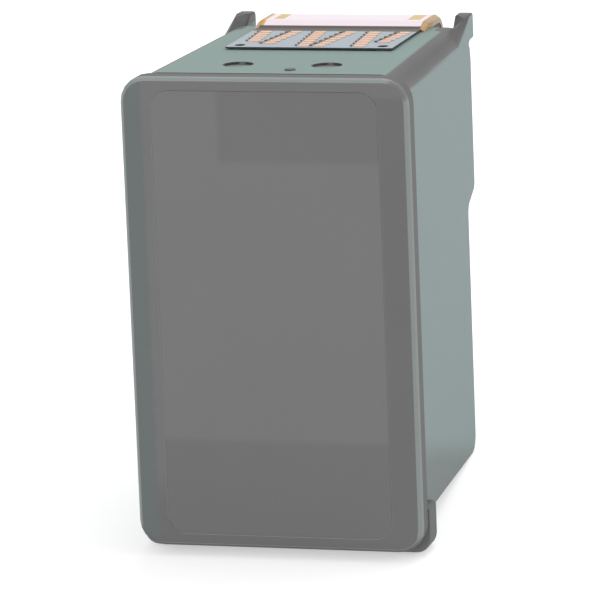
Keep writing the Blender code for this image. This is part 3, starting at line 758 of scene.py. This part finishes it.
@dataclass(frozen=True)
class CircuitFilm:
    """Film of the flex circuit: pale cover round the contacts, a bare strip darkened with painted shade, then
    glossy amber with a plated field on the headland that is a painted highlight.

    Attributes:
        name: Name of the material.
        cover: Colour of the cover.
        cut: Colour of the cover's cut edge.
        strip_with_painted_shade: Colour of the bare strip behind it, darkened with painted shade.
        amber: Colour of the film over the bend and down the back.
        plating_painted_highlight: Colour of the plated field under the film on the headland, a painted
            highlight.
        cover_end: Depth at which the cover ends.
        strip_end: Depth at which the strip ends.
        shine_end: Depths over which the plated field and its painted highlight fade out.
        shine_sides: X of the field's two sides.
        upward: Upward component of the normal where the cover starts and where it is full.
        gilt: Colour of the windows in the field.
        windows: X limits of the windows.
        window_depth: Y limits of the windows.
        cloud_share: Greatest share by which the cloudy patches are paler.
        roughness: Roughness of the cover and of the film behind it.
    """

    name: str = "circuit film"
    cover: Colour = (0.35, 0.41, 0.45)
    cut: Colour = (0.05, 0.05, 0.05)
    # Painted shade darkens the bare strip
    strip_with_painted_shade: Colour = (0.085, 0.074, 0.066)
    amber: Colour = (0.60, 0.34, 0.04)
    # Painted highlight: a pale metal field on the headland
    plating_painted_highlight: Colour = (0.89, 0.76, 0.84)
    gilt: Colour = (0.58, 0.33, 0.0)
    cover_end: float = 31.3
    strip_end: float = 34.1
    shine_end: Span = (41.8, 40.6)
    shine_sides: Span = (-9.2, 10.4)
    upward: Span = (0.3, 0.6)
    windows: tuple[Span, ...] = ((-8.5, -7.2), (8.2, 9.8))
    window_depth: Span = (36.3, 40.1)
    cloud_share: float = 0.12
    roughness: Span = (0.42, 0.2)

    def build(self) -> bpy.types.Material:
        """Makes the material.

        Returns:
            The material.
        """
        graph = Graph(self.name)
        place = graph.place()
        across, depth, _ = graph.axes(place)
        past_cover = graph.past(depth, self.cover_end, soft=0.08)
        past_strip = graph.past(depth, self.strip_end, soft=0.12)
        # Painted shade on the bare strip before the ramp
        film = graph.mix(past_strip, self.strip_with_painted_shade, self.amber)
        # Plated field on the headland, a painted highlight
        plating_painted_highlight = graph.every(
            past_strip,
            graph.ramp(depth, *self.shine_end),
            graph.within(across, self.shine_sides, soft=0.15),
        )
        for sides in self.windows:
            window = graph.every(
                graph.within(across, sides, soft=0.1), graph.within(depth, self.window_depth, soft=0.15)
            )
            plating_painted_highlight = graph.every(plating_painted_highlight, graph.math("SUBTRACT", 1.0, window))
            film = graph.mix(window, film, self.gilt)
        upward = graph.ramp(graph.axes(graph.upright_normal())[2], *self.upward)
        film = graph.mix(plating_painted_highlight, film, self.plating_painted_highlight)
        cloud = graph.noise(place, grain=3.0, detail=3.0)
        colour = graph.mix(past_cover, graph.mix(upward, self.cut, self.cover), film)
        graph.bump(graph.noise(place, grain=1.6, detail=1.0), depth=0.02, strength=0.3)
        roughness = graph.scale(past_strip, *self.roughness)
        return graph.surface(
            Base_Color=graph.tint(colour, cloud, self.cloud_share, WHITE),
            Roughness=graph.math("ADD", roughness, graph.scale(cloud, -0.05, 0.05)),
            Metallic=graph.scale(plating_painted_highlight, 0.0, 0.92),
            Specular_IOR_Level=0.15,
            Coat_Weight=graph.scale(past_strip, 0.0, 0.05),
            Coat_Roughness=0.12,
        )


@dataclass(frozen=True)
class Metal:
    """Plated or bare metal with a fine brushed grain.

    Attributes:
        name: Name of the material.
        colour: Colour of the metal.
        dull: Colour of its duller patches.
        roughness: Least and most roughness.
        grain: Size of the grain in millimetres.
        metallic: How metallic it is.
        patch: Size of the duller patches, in grains.
    """

    name: str
    colour: Colour
    dull: Colour
    roughness: Span
    grain: float = 0.3
    metallic: float = 1.0
    patch: float = 4.0

    def build(self) -> bpy.types.Material:
        """Makes the material.

        Returns:
            The material.
        """
        graph = Graph(self.name)
        place = graph.place()
        patch = graph.noise(place, self.grain * self.patch, detail=3.0)
        graph.bump(graph.noise(place, self.grain), depth=0.008, strength=0.4)
        return graph.surface(
            Base_Color=graph.mix(patch, self.colour, self.dull),
            Roughness=graph.scale(patch, *self.roughness),
            Metallic=self.metallic,
        )


@dataclass(frozen=True)
class Foam:
    """Open-cell foam.

    Attributes:
        name: Name of the material.
        wall: Colour of the cells' walls.
        cell: Colour inside the cells.
        cell_size: Size of a cell in millimetres.
        wall_reach: Distance from a wall's middle where it starts and where it is full, in cells.
        roughness: Roughness of the cells and of their walls.
    """

    name: str = "foam"
    wall: Colour = (0.55, 0.52, 0.45)
    cell: Colour = (0.2, 0.18, 0.15)
    cell_size: float = 0.45
    wall_reach: Span = (0.22, 0.06)
    roughness: Span = (0.98, 0.85)

    def build(self) -> bpy.types.Material:
        """Makes the material.

        Returns:
            The material.
        """
        graph = Graph(self.name)
        place = graph.place()
        cells = graph.add("TexVoronoi", feature="DISTANCE_TO_EDGE")
        graph.links.new(place, cells.inputs["Vector"])
        cells.inputs["Scale"].default_value = 1.0 / self.cell_size
        wall = graph.ramp(cells.outputs["Distance"], *self.wall_reach)
        graph.bump(wall, depth=0.12, strength=0.8)
        return graph.surface(
            Base_Color=graph.mix(wall, self.cell, self.wall), Roughness=graph.scale(wall, *self.roughness)
        )


@dataclass(frozen=True)
class WovenMesh:
    """Fine woven steel mesh.

    Attributes:
        name: Name of the material.
        wire: Colour of the wires.
        hole: Colour of the holes.
        pitch: Distance between wires in millimetres.
        edge: Height in the weave where a wire starts and where it is full.
        roughness: Roughness of the holes and of the wires.
        metallic: How metallic the holes and the wires are.
    """

    name: str = "woven mesh"
    wire: Colour = (0.62, 0.62, 0.63)
    hole: Colour = (0.08, 0.08, 0.08)
    pitch: float = 0.2
    edge: Span = (0.6, 0.9)
    roughness: Span = (0.8, 0.35)
    metallic: Span = (0.2, 1.0)

    def build(self) -> bpy.types.Material:
        """Makes the material.

        Returns:
            The material.
        """
        graph = Graph(self.name)
        x, _, z = graph.axes(graph.place())
        waves = [
            graph.math("ABSOLUTE", graph.math("SINE", graph.every(axis, math.pi / self.pitch)))
            for axis in (x, z)
        ]
        wire = graph.ramp(graph.most(*waves), *self.edge)
        graph.bump(wire, depth=0.04, strength=0.8)
        return graph.surface(
            Base_Color=graph.mix(wire, self.hole, self.wire),
            Roughness=graph.scale(wire, *self.roughness),
            Metallic=graph.scale(wire, *self.metallic),
        )


@dataclass(frozen=True)
class Gloss:
    """Glossy solid such as resin, adhesive or polished silicon.

    Attributes:
        name: Name of the material.
        colour: Main colour.
        deep: Colour of its deeper patches.
        roughness: Least and most roughness.
        relief: Depth of its waviness in millimetres.
    """

    name: str
    colour: Colour
    deep: Colour
    roughness: Span
    relief: float = 0.02

    def build(self) -> bpy.types.Material:
        """Makes the material.

        Returns:
            The material.
        """
        graph = Graph(self.name)
        place = graph.place()
        patch = graph.noise(place, grain=1.8, detail=3.0)
        graph.bump(graph.noise(place, grain=0.9, detail=1.0), self.relief, strength=0.5)
        return graph.surface(
            Base_Color=graph.mix(patch, self.colour, self.deep), Roughness=graph.scale(patch, *self.roughness)
        )


class Mesh:
    """Collects solids in the cartridge's own frame and makes one piece of them."""

    def __init__(self, name: str) -> None:
        """Starts an empty mesh.

        Args:
            name: Name of the piece.
        """
        self.name = name
        self.bm = bmesh.new()

    def rings(self, rings: list[list[Place]], frame_like: bool = False) -> None:
        """Adds a closed solid through rings of as many points each.

        Args:
            rings: Rings from one end to the other.
            frame_like: Whether the last ring joins the first, which leaves the middle open.
        """
        loops = [[self.bm.verts.new(point) for point in ring] for ring in rings]
        count = len(loops[0])
        for near, far in zip(loops, [*loops[1:], loops[0]] if frame_like else loops[1:]):
            for i in range(count):
                j = (i + 1) % count
                self.bm.faces.new((near[i], near[j], far[j], far[i]))
        if frame_like:
            return
        self.bm.faces.new(tuple(reversed(loops[0])))
        self.bm.faces.new(tuple(loops[-1]))

    def piece(self, finish: bpy.types.Material, slot: Slot) -> bpy.types.Object:
        """Makes the piece, leans it with the cartridge and lets it ride on the body.

        Args:
            finish: Its material.
            slot: The record's slot that its finish belongs to; not used.

        Returns:
            The piece.
        """
        bmesh.ops.recalc_face_normals(self.bm, faces=self.bm.faces)
        mesh = bpy.data.meshes.new(self.name)
        self.bm.to_mesh(mesh)
        self.bm.free()
        mesh.transform(Matrix.Scale(MM, 4) @ STANCE.matrix())
        mesh.shade_smooth()
        mesh.set_sharp_from_angle(angle=PIECE_SHARP_ANGLE)
        mesh.materials.append(finish)
        made = bpy.data.objects.new(self.name, mesh)
        bpy.context.scene.collection.objects.link(made)
        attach(made, "root")
        LOG.info("%s: %d faces", self.name, len(mesh.polygons))
        return made


def dress(material: bpy.types.Material, *nodes: str) -> None:
    """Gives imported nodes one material.

    Args:
        material: The material.
        nodes: Names of the nodes.
    """
    for name in nodes:
        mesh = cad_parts[name].data
        mesh.materials.clear()
        mesh.materials.append(material)
        LOG.info("%s: %s", name, material.name)


def refine(node: str, name: str, material: bpy.types.Material, softening: float = 0.0) -> bpy.types.Object:
    """Makes a stand-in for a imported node: the same shape, shaded smooth, its sharp edges softened.

    Args:
        node: Name of the node, which the stand-in replaces.
        name: Name of the stand-in.
        material: Its material.
        softening: Width of the softened edges in millimetres.

    Returns:
        The stand-in.
    """
    shape = bmesh.new()
    shape.from_mesh(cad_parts[node].data)
    bmesh.ops.remove_doubles(shape, verts=shape.verts, dist=WELD)
    bmesh.ops.dissolve_limit(shape, angle_limit=FLAT_ANGLE, verts=shape.verts, edges=shape.edges)
    mesh = bpy.data.meshes.new(name)
    shape.to_mesh(mesh)
    shape.free()
    mesh.materials.append(material)
    mesh.shade_smooth()
    mesh.set_sharp_from_angle(angle=SHARP_ANGLE)
    piece = bpy.data.objects.new(name, mesh)
    bpy.context.scene.collection.objects.link(piece)
    if softening:
        soften = piece.modifiers.new("soft edges", "BEVEL")
        soften.width = softening * MM
        soften.segments = 2
        soften.limit_method = "ANGLE"
        soften.angle_limit = SHARP_ANGLE
        soften.use_clamp_overlap = False
    weights = piece.modifiers.new("flat faces stay flat", "WEIGHTED_NORMAL")
    weights.keep_sharp = True
    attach(piece, "root")
    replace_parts(piece, node)
    LOG.info("%s stands for %s: %d faces, %s", name, node, len(mesh.polygons), material.name)
    return piece


@dataclass
class Casing:
    """Housing, lid and the weld between them.

    Attributes:
        housing: Finish of the housing.
        lid: Finish of the lid.
        weld: Finish of the weld.
        softening: Width of the mouldings' softened edges.
        weld_middle: X and Z of the weld's middle.
        weld_size: Width and height of the weld's outline.
        weld_corner: Radius of its corners.
        weld_wall: Width of the weld.
        weld_depths: Depths at which it starts and ends.
    """

    # The housing's dark colour for its smoother places is painted shade
    housing: MouldedPlastic = HousingPlastic(
        "housing plastic", flat=(0.216, 0.281, 0.277), smooth_and_painted_light=(0.052, 0.053, 0.052)
    )
    # The lid's lighter colour for its smoother places is a painted highlight
    lid: MouldedPlastic = LidPlastic(
        "lid plastic", flat=(0.17, 0.171, 0.17), smooth_and_painted_light=(0.26, 0.295, 0.287), coat=0.5
    )
    weld: Gloss = Gloss("weld", (0.05, 0.051, 0.05), (0.035, 0.036, 0.035), (0.45, 0.6))
    softening: float = 0.06
    weld_middle: Point = (0.0, 28.0)
    weld_size: Point = (31.6, 55.2)
    weld_corner: float = 3.0
    weld_wall: float = 1.2
    weld_depths: Point = (2.45, 2.85)

    def build(self) -> None:
        """Makes both mouldings and the weld."""
        refine("housing", "housing_moulding", self.housing.build(), self.softening)
        refine("lid", "lid_moulding", self.lid.build(), self.softening)
        near, far = self.weld_depths
        mesh = Mesh("weld_seam")
        mesh.rings([
            [(x, depth, z) for x, z in rounded(self.weld_middle, self.weld_size, self.weld_corner, inset)]
            for depth, inset in ((near, 0.0), (far, 0.0), (far, self.weld_wall), (near, self.weld_wall))
        ], frame_like=True)
        mesh.piece(self.weld.build(), Slot.PLASTIC)


@dataclass
class Label:
    """Bare label that fills the lid's recess.

    Attributes:
        film: Its finish.
        size: Width and height of the label.
        corner: Radius of its corners.
        middle: X and Z of its middle.
        face: Depth of its face, just behind the lid's.
        back: Depth of its back, just off the recess's floor.
        edge: Width of its softened edge.
        corner_points: Number of points round each corner.
    """

    film: LabelFilm = LabelFilm()
    size: Point = (27.08, 52.88)
    corner: float = 2.14
    middle: Point = (0.0, 28.05)
    face: float = 0.02
    back: float = 0.33
    edge: float = 0.02
    corner_points: int = 9

    def build(self) -> None:
        """Makes the label."""
        mesh = Mesh("label_sheet")
        mesh.rings([
            [(x, y, z) for x, z in rounded(self.middle, self.size, self.corner, inset, self.corner_points)]
            for y, inset in ((self.back, 0.0), (self.face + self.edge, 0.0), (self.face, self.edge))
        ])
        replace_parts(mesh.piece(self.film.build(), Slot.LABEL), "label")


@dataclass
class InkStore:
    """Foam blocks and filter screens inside the chambers.

    Attributes:
        foam: Finish of the blocks.
        screen: Finish of the screens.
    """

    foam: Foam = Foam()
    screen: WovenMesh = WovenMesh()

    def build(self) -> None:
        """Dresses the blocks and screens."""
        dress(self.foam.build(), *(f"foam_{chamber.value}" for chamber in Chamber))
        dress(self.screen.build(), *(f"filter_screen_{chamber.value}" for chamber in Chamber))


@dataclass
class ContactCircuit:
    """Flex circuit with its contact pads, its vias and the resin along its two edges.

    Attributes:
        film: Finish of the film.
        copper: Finish of the pads.
        hole: Finish of the vias.
        resin: Finish of the resin.
        front: Depth of the circuit's front edge.
        pad_back: Depth of the last row of pads behind that edge.
        pitch: Distance between rows.
        group_spacing: Distance between pairs of columns.
        pair_gap: Distance between the two columns of a pair in the front row.
        spreads: How much further out each row of a left and of a right column lies.
        rows: Number of pads in each column.
        pad_size: Width and length of a pad.
        pad_corner: Radius of its corners.
        pad_rise: How far it stands above the film.
        pad_sink: How far it reaches into the film.
        pad_edge: Width and height of its softened edge.
        vias: Diameters of the vias of a left and of a right column.
        via_rise: How far the vias' caps stand above the film.
        via_gap: Distance of a via's middle from its pad.
        edge_section: Section of the resin: distances from the film's middle and from its bed.
    """

    film: CircuitFilm = CircuitFilm()
    copper: Metal = Metal("contact copper", (0.80, 0.52, 0.38), (0.70, 0.44, 0.32), (0.3, 0.45), 0.3, 0.3)
    hole: Gloss = Gloss("via", (0.03, 0.03, 0.03), (0.05, 0.045, 0.04), (0.3, 0.5))
    resin: Gloss = Gloss("amber resin", (0.30, 0.15, 0.045), (0.52, 0.32, 0.1), (0.2, 0.35), 0.04)
    front: float = 19.2
    pad_back: float = 11.0
    pitch: float = 1.6
    group_spacing: float = 6.75
    pair_gap: float = 1.86
    spreads: Span = (0.1, 0.2)
    rows: tuple[int, ...] = (5, 6, 7, 7, 7, 5)
    pad_size: Point = (1.56, 1.11)
    pad_corner: float = 0.22
    pad_rise: float = 0.1
    pad_sink: float = 0.03
    pad_edge: Point = (0.06, 0.02)
    vias: Span = (0.5, 0.8)
    via_rise: float = 0.115
    via_gap: float = 0.05
    edge_section: tuple[Point, ...] = (
        (10.05, 0.37), (10.22, 0.37), (10.67, 0.04), (10.67, -0.62), (10.4, -0.62), (10.4, -0.2), (10.05, 0.2)
    )

    def centres(self) -> list[tuple[float, float, int]]:
        """Places of the contact pads.

        Returns:
            X and Y of each pad, and 1 for those of a right column or 0.
        """
        centres = []
        most = max(self.rows)
        for column, rows in enumerate(self.rows):
            group = WALL.middle + (column // 2 - 1) * self.group_spacing
            right = column % 2
            side = 1 if right else -1
            for row in range(most - rows, most):
                x = group + side * (self.pair_gap / 2 + self.spreads[right] * row)
                centres.append((x, self.front + self.pad_back - self.pitch * (most - 1 - row), right))
        return centres

    def pads(self) -> None:
        """Makes the rounded copper pads over the plain ones."""
        mesh = Mesh("contact_pads")
        width, height = self.pad_edge
        levels = ((-self.pad_sink, 0.0), (self.pad_rise - height, 0.0), (self.pad_rise, width))
        for x, y, _ in self.centres():
            mesh.rings([
                [(px, py, WALL.film(y) + level)
                 for px, py in rounded((x, y), self.pad_size, self.pad_corner, inset)]
                for level, inset in levels
            ])
        mesh.piece(self.copper.build(), Slot.FILM)

    def holes(self) -> None:
        """Makes the dark vias at the pads' left ends."""
        mesh = Mesh("contact_vias")
        for x, y, right in self.centres():
            size = self.vias[right]
            middle = (x - self.pad_size[0] / 2 - self.via_gap, y)
            mesh.rings([
                [(px, py, WALL.film(y) + level) for px, py in rounded(middle, (size, size), size / 2)]
                for level in (0.0, self.via_rise)
            ])
        mesh.piece(self.hole.build(), Slot.FILM)

    def edges(self) -> None:
        """Makes the resin along both edges of the film, from the ramp to the end of the headland's back."""
        resin = self.resin.build()
        for name, side in (("left", -1), ("right", 1)):
            mesh = Mesh(f"edge_resin_{name}")
            mesh.rings([
                [(WALL.middle + side * x, *(point + normal * rise)) for x, rise in self.edge_section]
                for point, normal in WALL.bed()
            ])
            mesh.piece(resin, Slot.RESIN)

    def build(self) -> None:
        """Makes the film, pads, vias and resin."""
        refine("flex_circuit", "circuit_film", self.film.build())
        self.pads()
        self.holes()
        self.edges()


def face_depth(node: str) -> float:
    """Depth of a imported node's rearmost face, in the cartridge's own frame."""
    upright = STANCE.matrix().inverted()
    return max((upright @ (vertex.co / MM)).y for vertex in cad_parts[node].data.vertices)


@dataclass
class PrintHead:
    """Seal, die, nozzle plate with its nozzles, resin beads and the traces that lead to them.

    Attributes:
        die: Finish of the die.
        seal: Finish of the seal.
        resin: Finish of the beads.
        plate: Finish of the nozzle plate.
        mouth: Finish of the nozzles' mouths.
        trace: Finish of the traces.
        die_middle: X and Z of the die's middle.
        nozzle: Diameter of a nozzle's mouth.
        nozzle_rise: How far the mouths' rings stand above the plate.
        nozzle_rows: X of the rows of nozzles, from the die's middle.
        nozzle_pitch: Distance between nozzles.
        nozzle_count: Number of nozzles in a row.
        mouth_points: Number of points round each quarter of a mouth.
        trace_width: Width of a trace.
        trace_rise: How far a trace stands above the film.
        trace_sink: How far it reaches into the film.
        trace_start: Depth at which the traces start, on the headland's edge.
        bead_reach: Distance of the beads' outer edges from the die's middle.
        inner_traces: Number of traces to the upper bead.
        inner_pitch: Distance between them.
        outer_traces: Number of traces on each side to the lower bead.
        outer_reach: Distance of the first of them from the die's middle.
        outer_pitch: Distance between them beside the die.
        outer_inset: How many such distances lie between the first one's places beside the die and below.
        foot_reach: Distance below the die's middle at which the first of them turns in.
        foot_pitch: Distance between them below the bead.
        turn: Length of the slanted stretch with which they turn in.
    """

    die: Gloss = Gloss("silicon", (0.10, 0.10, 0.12), (0.14, 0.13, 0.16), (0.12, 0.2), 0.002)
    seal: Gloss = Gloss("adhesive", (0.20, 0.19, 0.17), (0.14, 0.13, 0.12), (0.4, 0.6))
    resin: Gloss = Gloss("resin", (0.10, 0.07, 0.04), (0.05, 0.035, 0.02), (0.12, 0.3), 0.05)
    plate: Metal = Metal("nozzle plate", (0.85, 0.72, 0.45), (0.75, 0.62, 0.38), (0.15, 0.3))
    mouth: Gloss = Gloss("nozzle mouth", (0.05, 0.04, 0.03), (0.09, 0.07, 0.05), (0.3, 0.5), 0.002)
    trace: Metal = Metal("copper trace", (0.42, 0.20, 0.06), (0.50, 0.26, 0.08), (0.25, 0.4), 0.4, 0.5)
    die_middle: Point = (0.4, 46.5)
    nozzle: float = 0.13
    nozzle_rise: float = 0.012
    nozzle_rows: tuple[float, ...] = (-2.45, -1.75, -0.35, 0.35, 1.75, 2.45)
    nozzle_pitch: float = 0.34
    nozzle_count: int = 25
    mouth_points: int = 3
    trace_width: float = 0.13
    trace_rise: float = 0.02
    trace_sink: float = 0.02
    trace_start: float = 41.5
    bead_reach: float = 6.6
    inner_traces: int = 12
    inner_pitch: float = 0.55
    outer_traces: int = 6
    outer_reach: float = 5.4
    outer_pitch: float = 0.55
    outer_inset: int = 3
    foot_reach: float = 7.05
    foot_pitch: float = 0.23
    turn: float = 0.8

    def nozzles(self) -> None:
        """Makes the rows of nozzle mouths."""
        mesh = Mesh("nozzle_rows")
        face = face_depth("nozzle_plate")
        size = (self.nozzle, self.nozzle)
        for column, offset in enumerate(self.nozzle_rows):
            stagger = self.nozzle_pitch / 4 * (1 if column % 2 else -1)
            for row in range(self.nozzle_count):
                x = self.die_middle[0] + offset
                z = self.die_middle[1] + stagger + self.nozzle_pitch * (row - (self.nozzle_count - 1) / 2)
                mouth = rounded((x, z), size, self.nozzle / 2, steps=self.mouth_points)
                mesh.rings([
                    [(px, depth, pz) for px, pz in mouth]
                    for depth in (face - self.nozzle_rise, face + self.nozzle_rise)
                ])
        mesh.piece(self.mouth.build(), Slot.NOZZLES)

    def routes(self, top: float) -> list[list[Point]]:
        """X and Z along every trace on the film's back.

        Args:
            top: Height of the back's upper end.

        Returns:
            The points of each trace, from the upper end to its lead at a bead.
        """
        middle, height = self.die_middle
        routes = []
        for lead in range(self.inner_traces):
            x = middle + (lead - (self.inner_traces - 1) / 2) * self.inner_pitch
            routes.append([(x, top), (x, height + self.bead_reach)])
        for side in (-1, 1):
            for lead in range(self.outer_traces):
                far = middle + side * (self.outer_reach + self.outer_pitch * lead)
                near = middle + side * (self.outer_reach - self.outer_pitch * (lead + self.outer_inset))
                foot = height - self.foot_reach - self.foot_pitch * lead
                routes.append([
                    (far, top), (far, foot + self.turn), (far - side * self.turn, foot), (near, foot),
                    (near, height - self.bead_reach),
                ])
        return routes

    def section(self, place: Vector, across: Vector, out: Vector) -> list[Vector]:
        """Ring of a trace at one place.

        Args:
            place: The place on the film's face.
            across: Half the trace's width, at right angles to it.
            out: Outward normal of the film.

        Returns:
            The ring's points.
        """
        low, high = place - out * self.trace_sink, place + out * self.trace_rise
        return [low - across, low + across, high + across, high - across]

    def traces(self) -> None:
        """Makes the traces, from the headland's edge down the film's back to the beads."""
        mesh = Mesh("circuit_traces")
        edge = [(point, normal) for point, normal in WALL.bed()[:-1] if point.x > self.trace_start]
        face = WALL.back + WALL.film_top
        back = Vector((0.0, 1.0, 0.0))
        half = self.trace_width / 2
        for route in self.routes(edge[-1][0].y):
            rings = [
                self.section(
                    Vector((route[0][0], *(point + normal * WALL.film_top))),
                    Vector((-half, 0.0, 0.0)), Vector((0.0, *normal)),
                )
                for point, normal in edge
            ]
            corners = [Vector(corner) for corner in route]
            ways = [(after - before).normalized() for before, after in zip(corners, corners[1:])]
            for place, arriving, leaving in zip(route[1:], ways, [*ways[1:], ways[-1]]):
                along = (arriving + leaving).normalized()
                across = Vector((along.y, 0.0, -along.x)) * half / along.dot(arriving)
                rings.append(self.section(Vector((place[0], face, place[1])), across, back))
            mesh.rings(rings)
        mesh.piece(self.trace.build(), Slot.FILM)

    def build(self) -> None:
        """Dresses the print head and makes its nozzles and traces."""
        self.nozzles()
        self.traces()
        dress(self.die.build(), "print_die")
        dress(self.seal.build(), "die_seal")
        dress(self.plate.build(), "nozzle_plate")
        dress(self.resin.build(), "resin_bead_upper", "resin_bead_lower")


@dataclass
class Studio:
    """Pale floor, soft lamps and plain surroundings.

    Attributes:
        floor_size: Side of the floor in metres.
        floor_tone: Tone of the floor as the cartridge is lit by it.
        seen_tone: Tone of the floor as the camera and mirrors see it.
        glow: Strength of the white that they see on it besides.
        ambient: Strength of the surroundings' light.
        lamps: Name, place in metres, side in metres and power in watts of each lamp.
        target: Place that the lamps face, in metres.
    """

    floor_size: float = 12.0
    floor_tone: float = 0.55
    seen_tone: float = 0.72
    glow: float = 0.5
    ambient: float = 0.6
    lamps: tuple[tuple[str, Place, float, float], ...] = (
        ("overhead", (0.25, 0.45, 0.85), 0.7, 3.6),
        ("right", (0.95, 0.05, 0.35), 0.6, 2.4),
        ("front", (-0.55, -1.1, 0.55), 0.8, 4.7),
    )
    target: Place = (0.0, 0.0, 0.03)

    def build(self) -> None:
        """Makes floor, surroundings and lamps."""
        self.floor()
        self.surroundings()
        for name, place, size, power in self.lamps:
            self.lamp(name, Vector(place), size, power)

    def floor(self) -> None:
        """Makes the floor, which the camera and mirrors see as white, with the cartridge's shadow on it."""
        mesh = bpy.data.meshes.new("floor")
        half = self.floor_size / 2
        corners = [(sx * half, sy * half, 0.0) for sx, sy in ((-1, -1), (1, -1), (1, 1), (-1, 1))]
        mesh.from_pydata(corners, [], [(0, 1, 2, 3)])
        floor = bpy.data.objects.new("floor", mesh)
        bpy.context.scene.collection.objects.link(floor)
        material = bpy.data.materials.new("floor")
        material.use_nodes = True
        graph = Nodes(material.node_tree)
        graph.nodes.clear()
        seen = graph.seen()
        diffuse, glow, both = (graph.add(kind) for kind in ("BsdfDiffuse", "Emission", "AddShader"))
        tone = graph.mix(seen, (self.floor_tone,) * 3, (self.seen_tone,) * 3)
        graph.feed(diffuse.inputs["Color"], tone)
        graph.feed(glow.inputs["Strength"], graph.every(seen, self.glow))
        graph.feed(both.inputs[0], diffuse.outputs[0])
        graph.feed(both.inputs[1], glow.outputs[0])
        graph.feed(graph.add("OutputMaterial").inputs["Surface"], both.outputs[0])
        mesh.materials.append(material)

    def surroundings(self) -> None:
        """Makes the world: plain light for the object, white behind it."""
        world = bpy.data.worlds.new("studio")
        bpy.context.scene.world = world
        world.use_nodes = True
        graph = Nodes(world.node_tree)
        graph.nodes.clear()
        background = graph.add("Background")
        graph.feed(background.inputs["Color"], (*WHITE, 1.0))
        graph.feed(background.inputs["Strength"], graph.scale(graph.seen(), self.ambient, 1.0))
        graph.feed(graph.add("OutputWorld").inputs["Surface"], background.outputs[0])

    def lamp(self, name: str, place: Vector, size: float, power: float) -> None:
        """Makes one soft lamp that faces the cartridge.

        Args:
            name: Name of the lamp.
            place: Its place in metres.
            size: Side of its square face in metres.
            power: Power in watts.
        """
        data = bpy.data.lights.new(name, "AREA")
        data.size = size
        data.energy = power
        lamp = bpy.data.objects.new(name, data)
        lamp.location = place
        lamp.rotation_mode = "QUATERNION"
        lamp.rotation_quaternion = (Vector(self.target) - place).to_track_quat("-Z", "Y")
        bpy.context.scene.collection.objects.link(lamp)


@dataclass
class Viewpoint:
    """Camera at the photograph's viewing angle, placed in the cartridge's own frame.

    Attributes:
        focal_length: Focal length in millimetres.
        sensor: Width of the sensor in millimetres.
        yaw: Turn to the left in degrees.
        pitch: Downward tilt in degrees.
        roll: Turn round the line of sight in degrees.
        target: Place that it looks at.
        distance: Distance from that place.
        clip: Nearest and farthest that it sees, in metres.
    """

    focal_length: float = 322.54
    sensor: float = 36.0
    yaw: float = 15.598
    pitch: float = 12.693
    roll: float = 2.282
    target: Place = (3.517, 0.0, 30.041)
    distance: float = 621.70
    clip: Span = (0.01, 50.0)

    def build(self) -> None:
        """Makes the camera."""
        yaw, pitch, roll = (math.radians(angle) for angle in (self.yaw, self.pitch, self.roll))
        ahead = Vector((-math.sin(yaw) * math.cos(pitch), math.cos(yaw) * math.cos(pitch), -math.sin(pitch)))
        right = ahead.cross(Vector((0.0, 0.0, 1.0))).normalized()
        up = right.cross(ahead)
        turned_right = right * math.cos(roll) - up * math.sin(roll)
        turned_up = right * math.sin(roll) + up * math.cos(roll)
        turn = Matrix((turned_right, turned_up, -ahead)).transposed().to_4x4()
        place = Matrix.Translation(Vector(self.target) - ahead * self.distance) @ turn
        standing = STANCE.matrix() @ place
        standing.translation *= MM
        data = bpy.data.cameras.new("camera")
        data.lens = self.focal_length
        data.sensor_width = self.sensor
        data.clip_start, data.clip_end = self.clip
        camera = bpy.data.objects.new("camera", data)
        camera.matrix_world = standing
        bpy.context.scene.collection.objects.link(camera)
        bpy.context.scene.camera = camera


def main() -> None:
    """Makes the camera, the studio and every piece."""
    logging.basicConfig(level=logging.INFO, format="%(name)s: %(message)s")
    bpy.context.scene.view_settings.view_transform = "Standard"
    for made in (Viewpoint(), Studio(), Casing(), Label(), InkStore(), ContactCircuit(), PrintHead()):
        made.build()
        LOG.info("%s done", type(made).__name__)


if __name__ == "__main__":
    main()
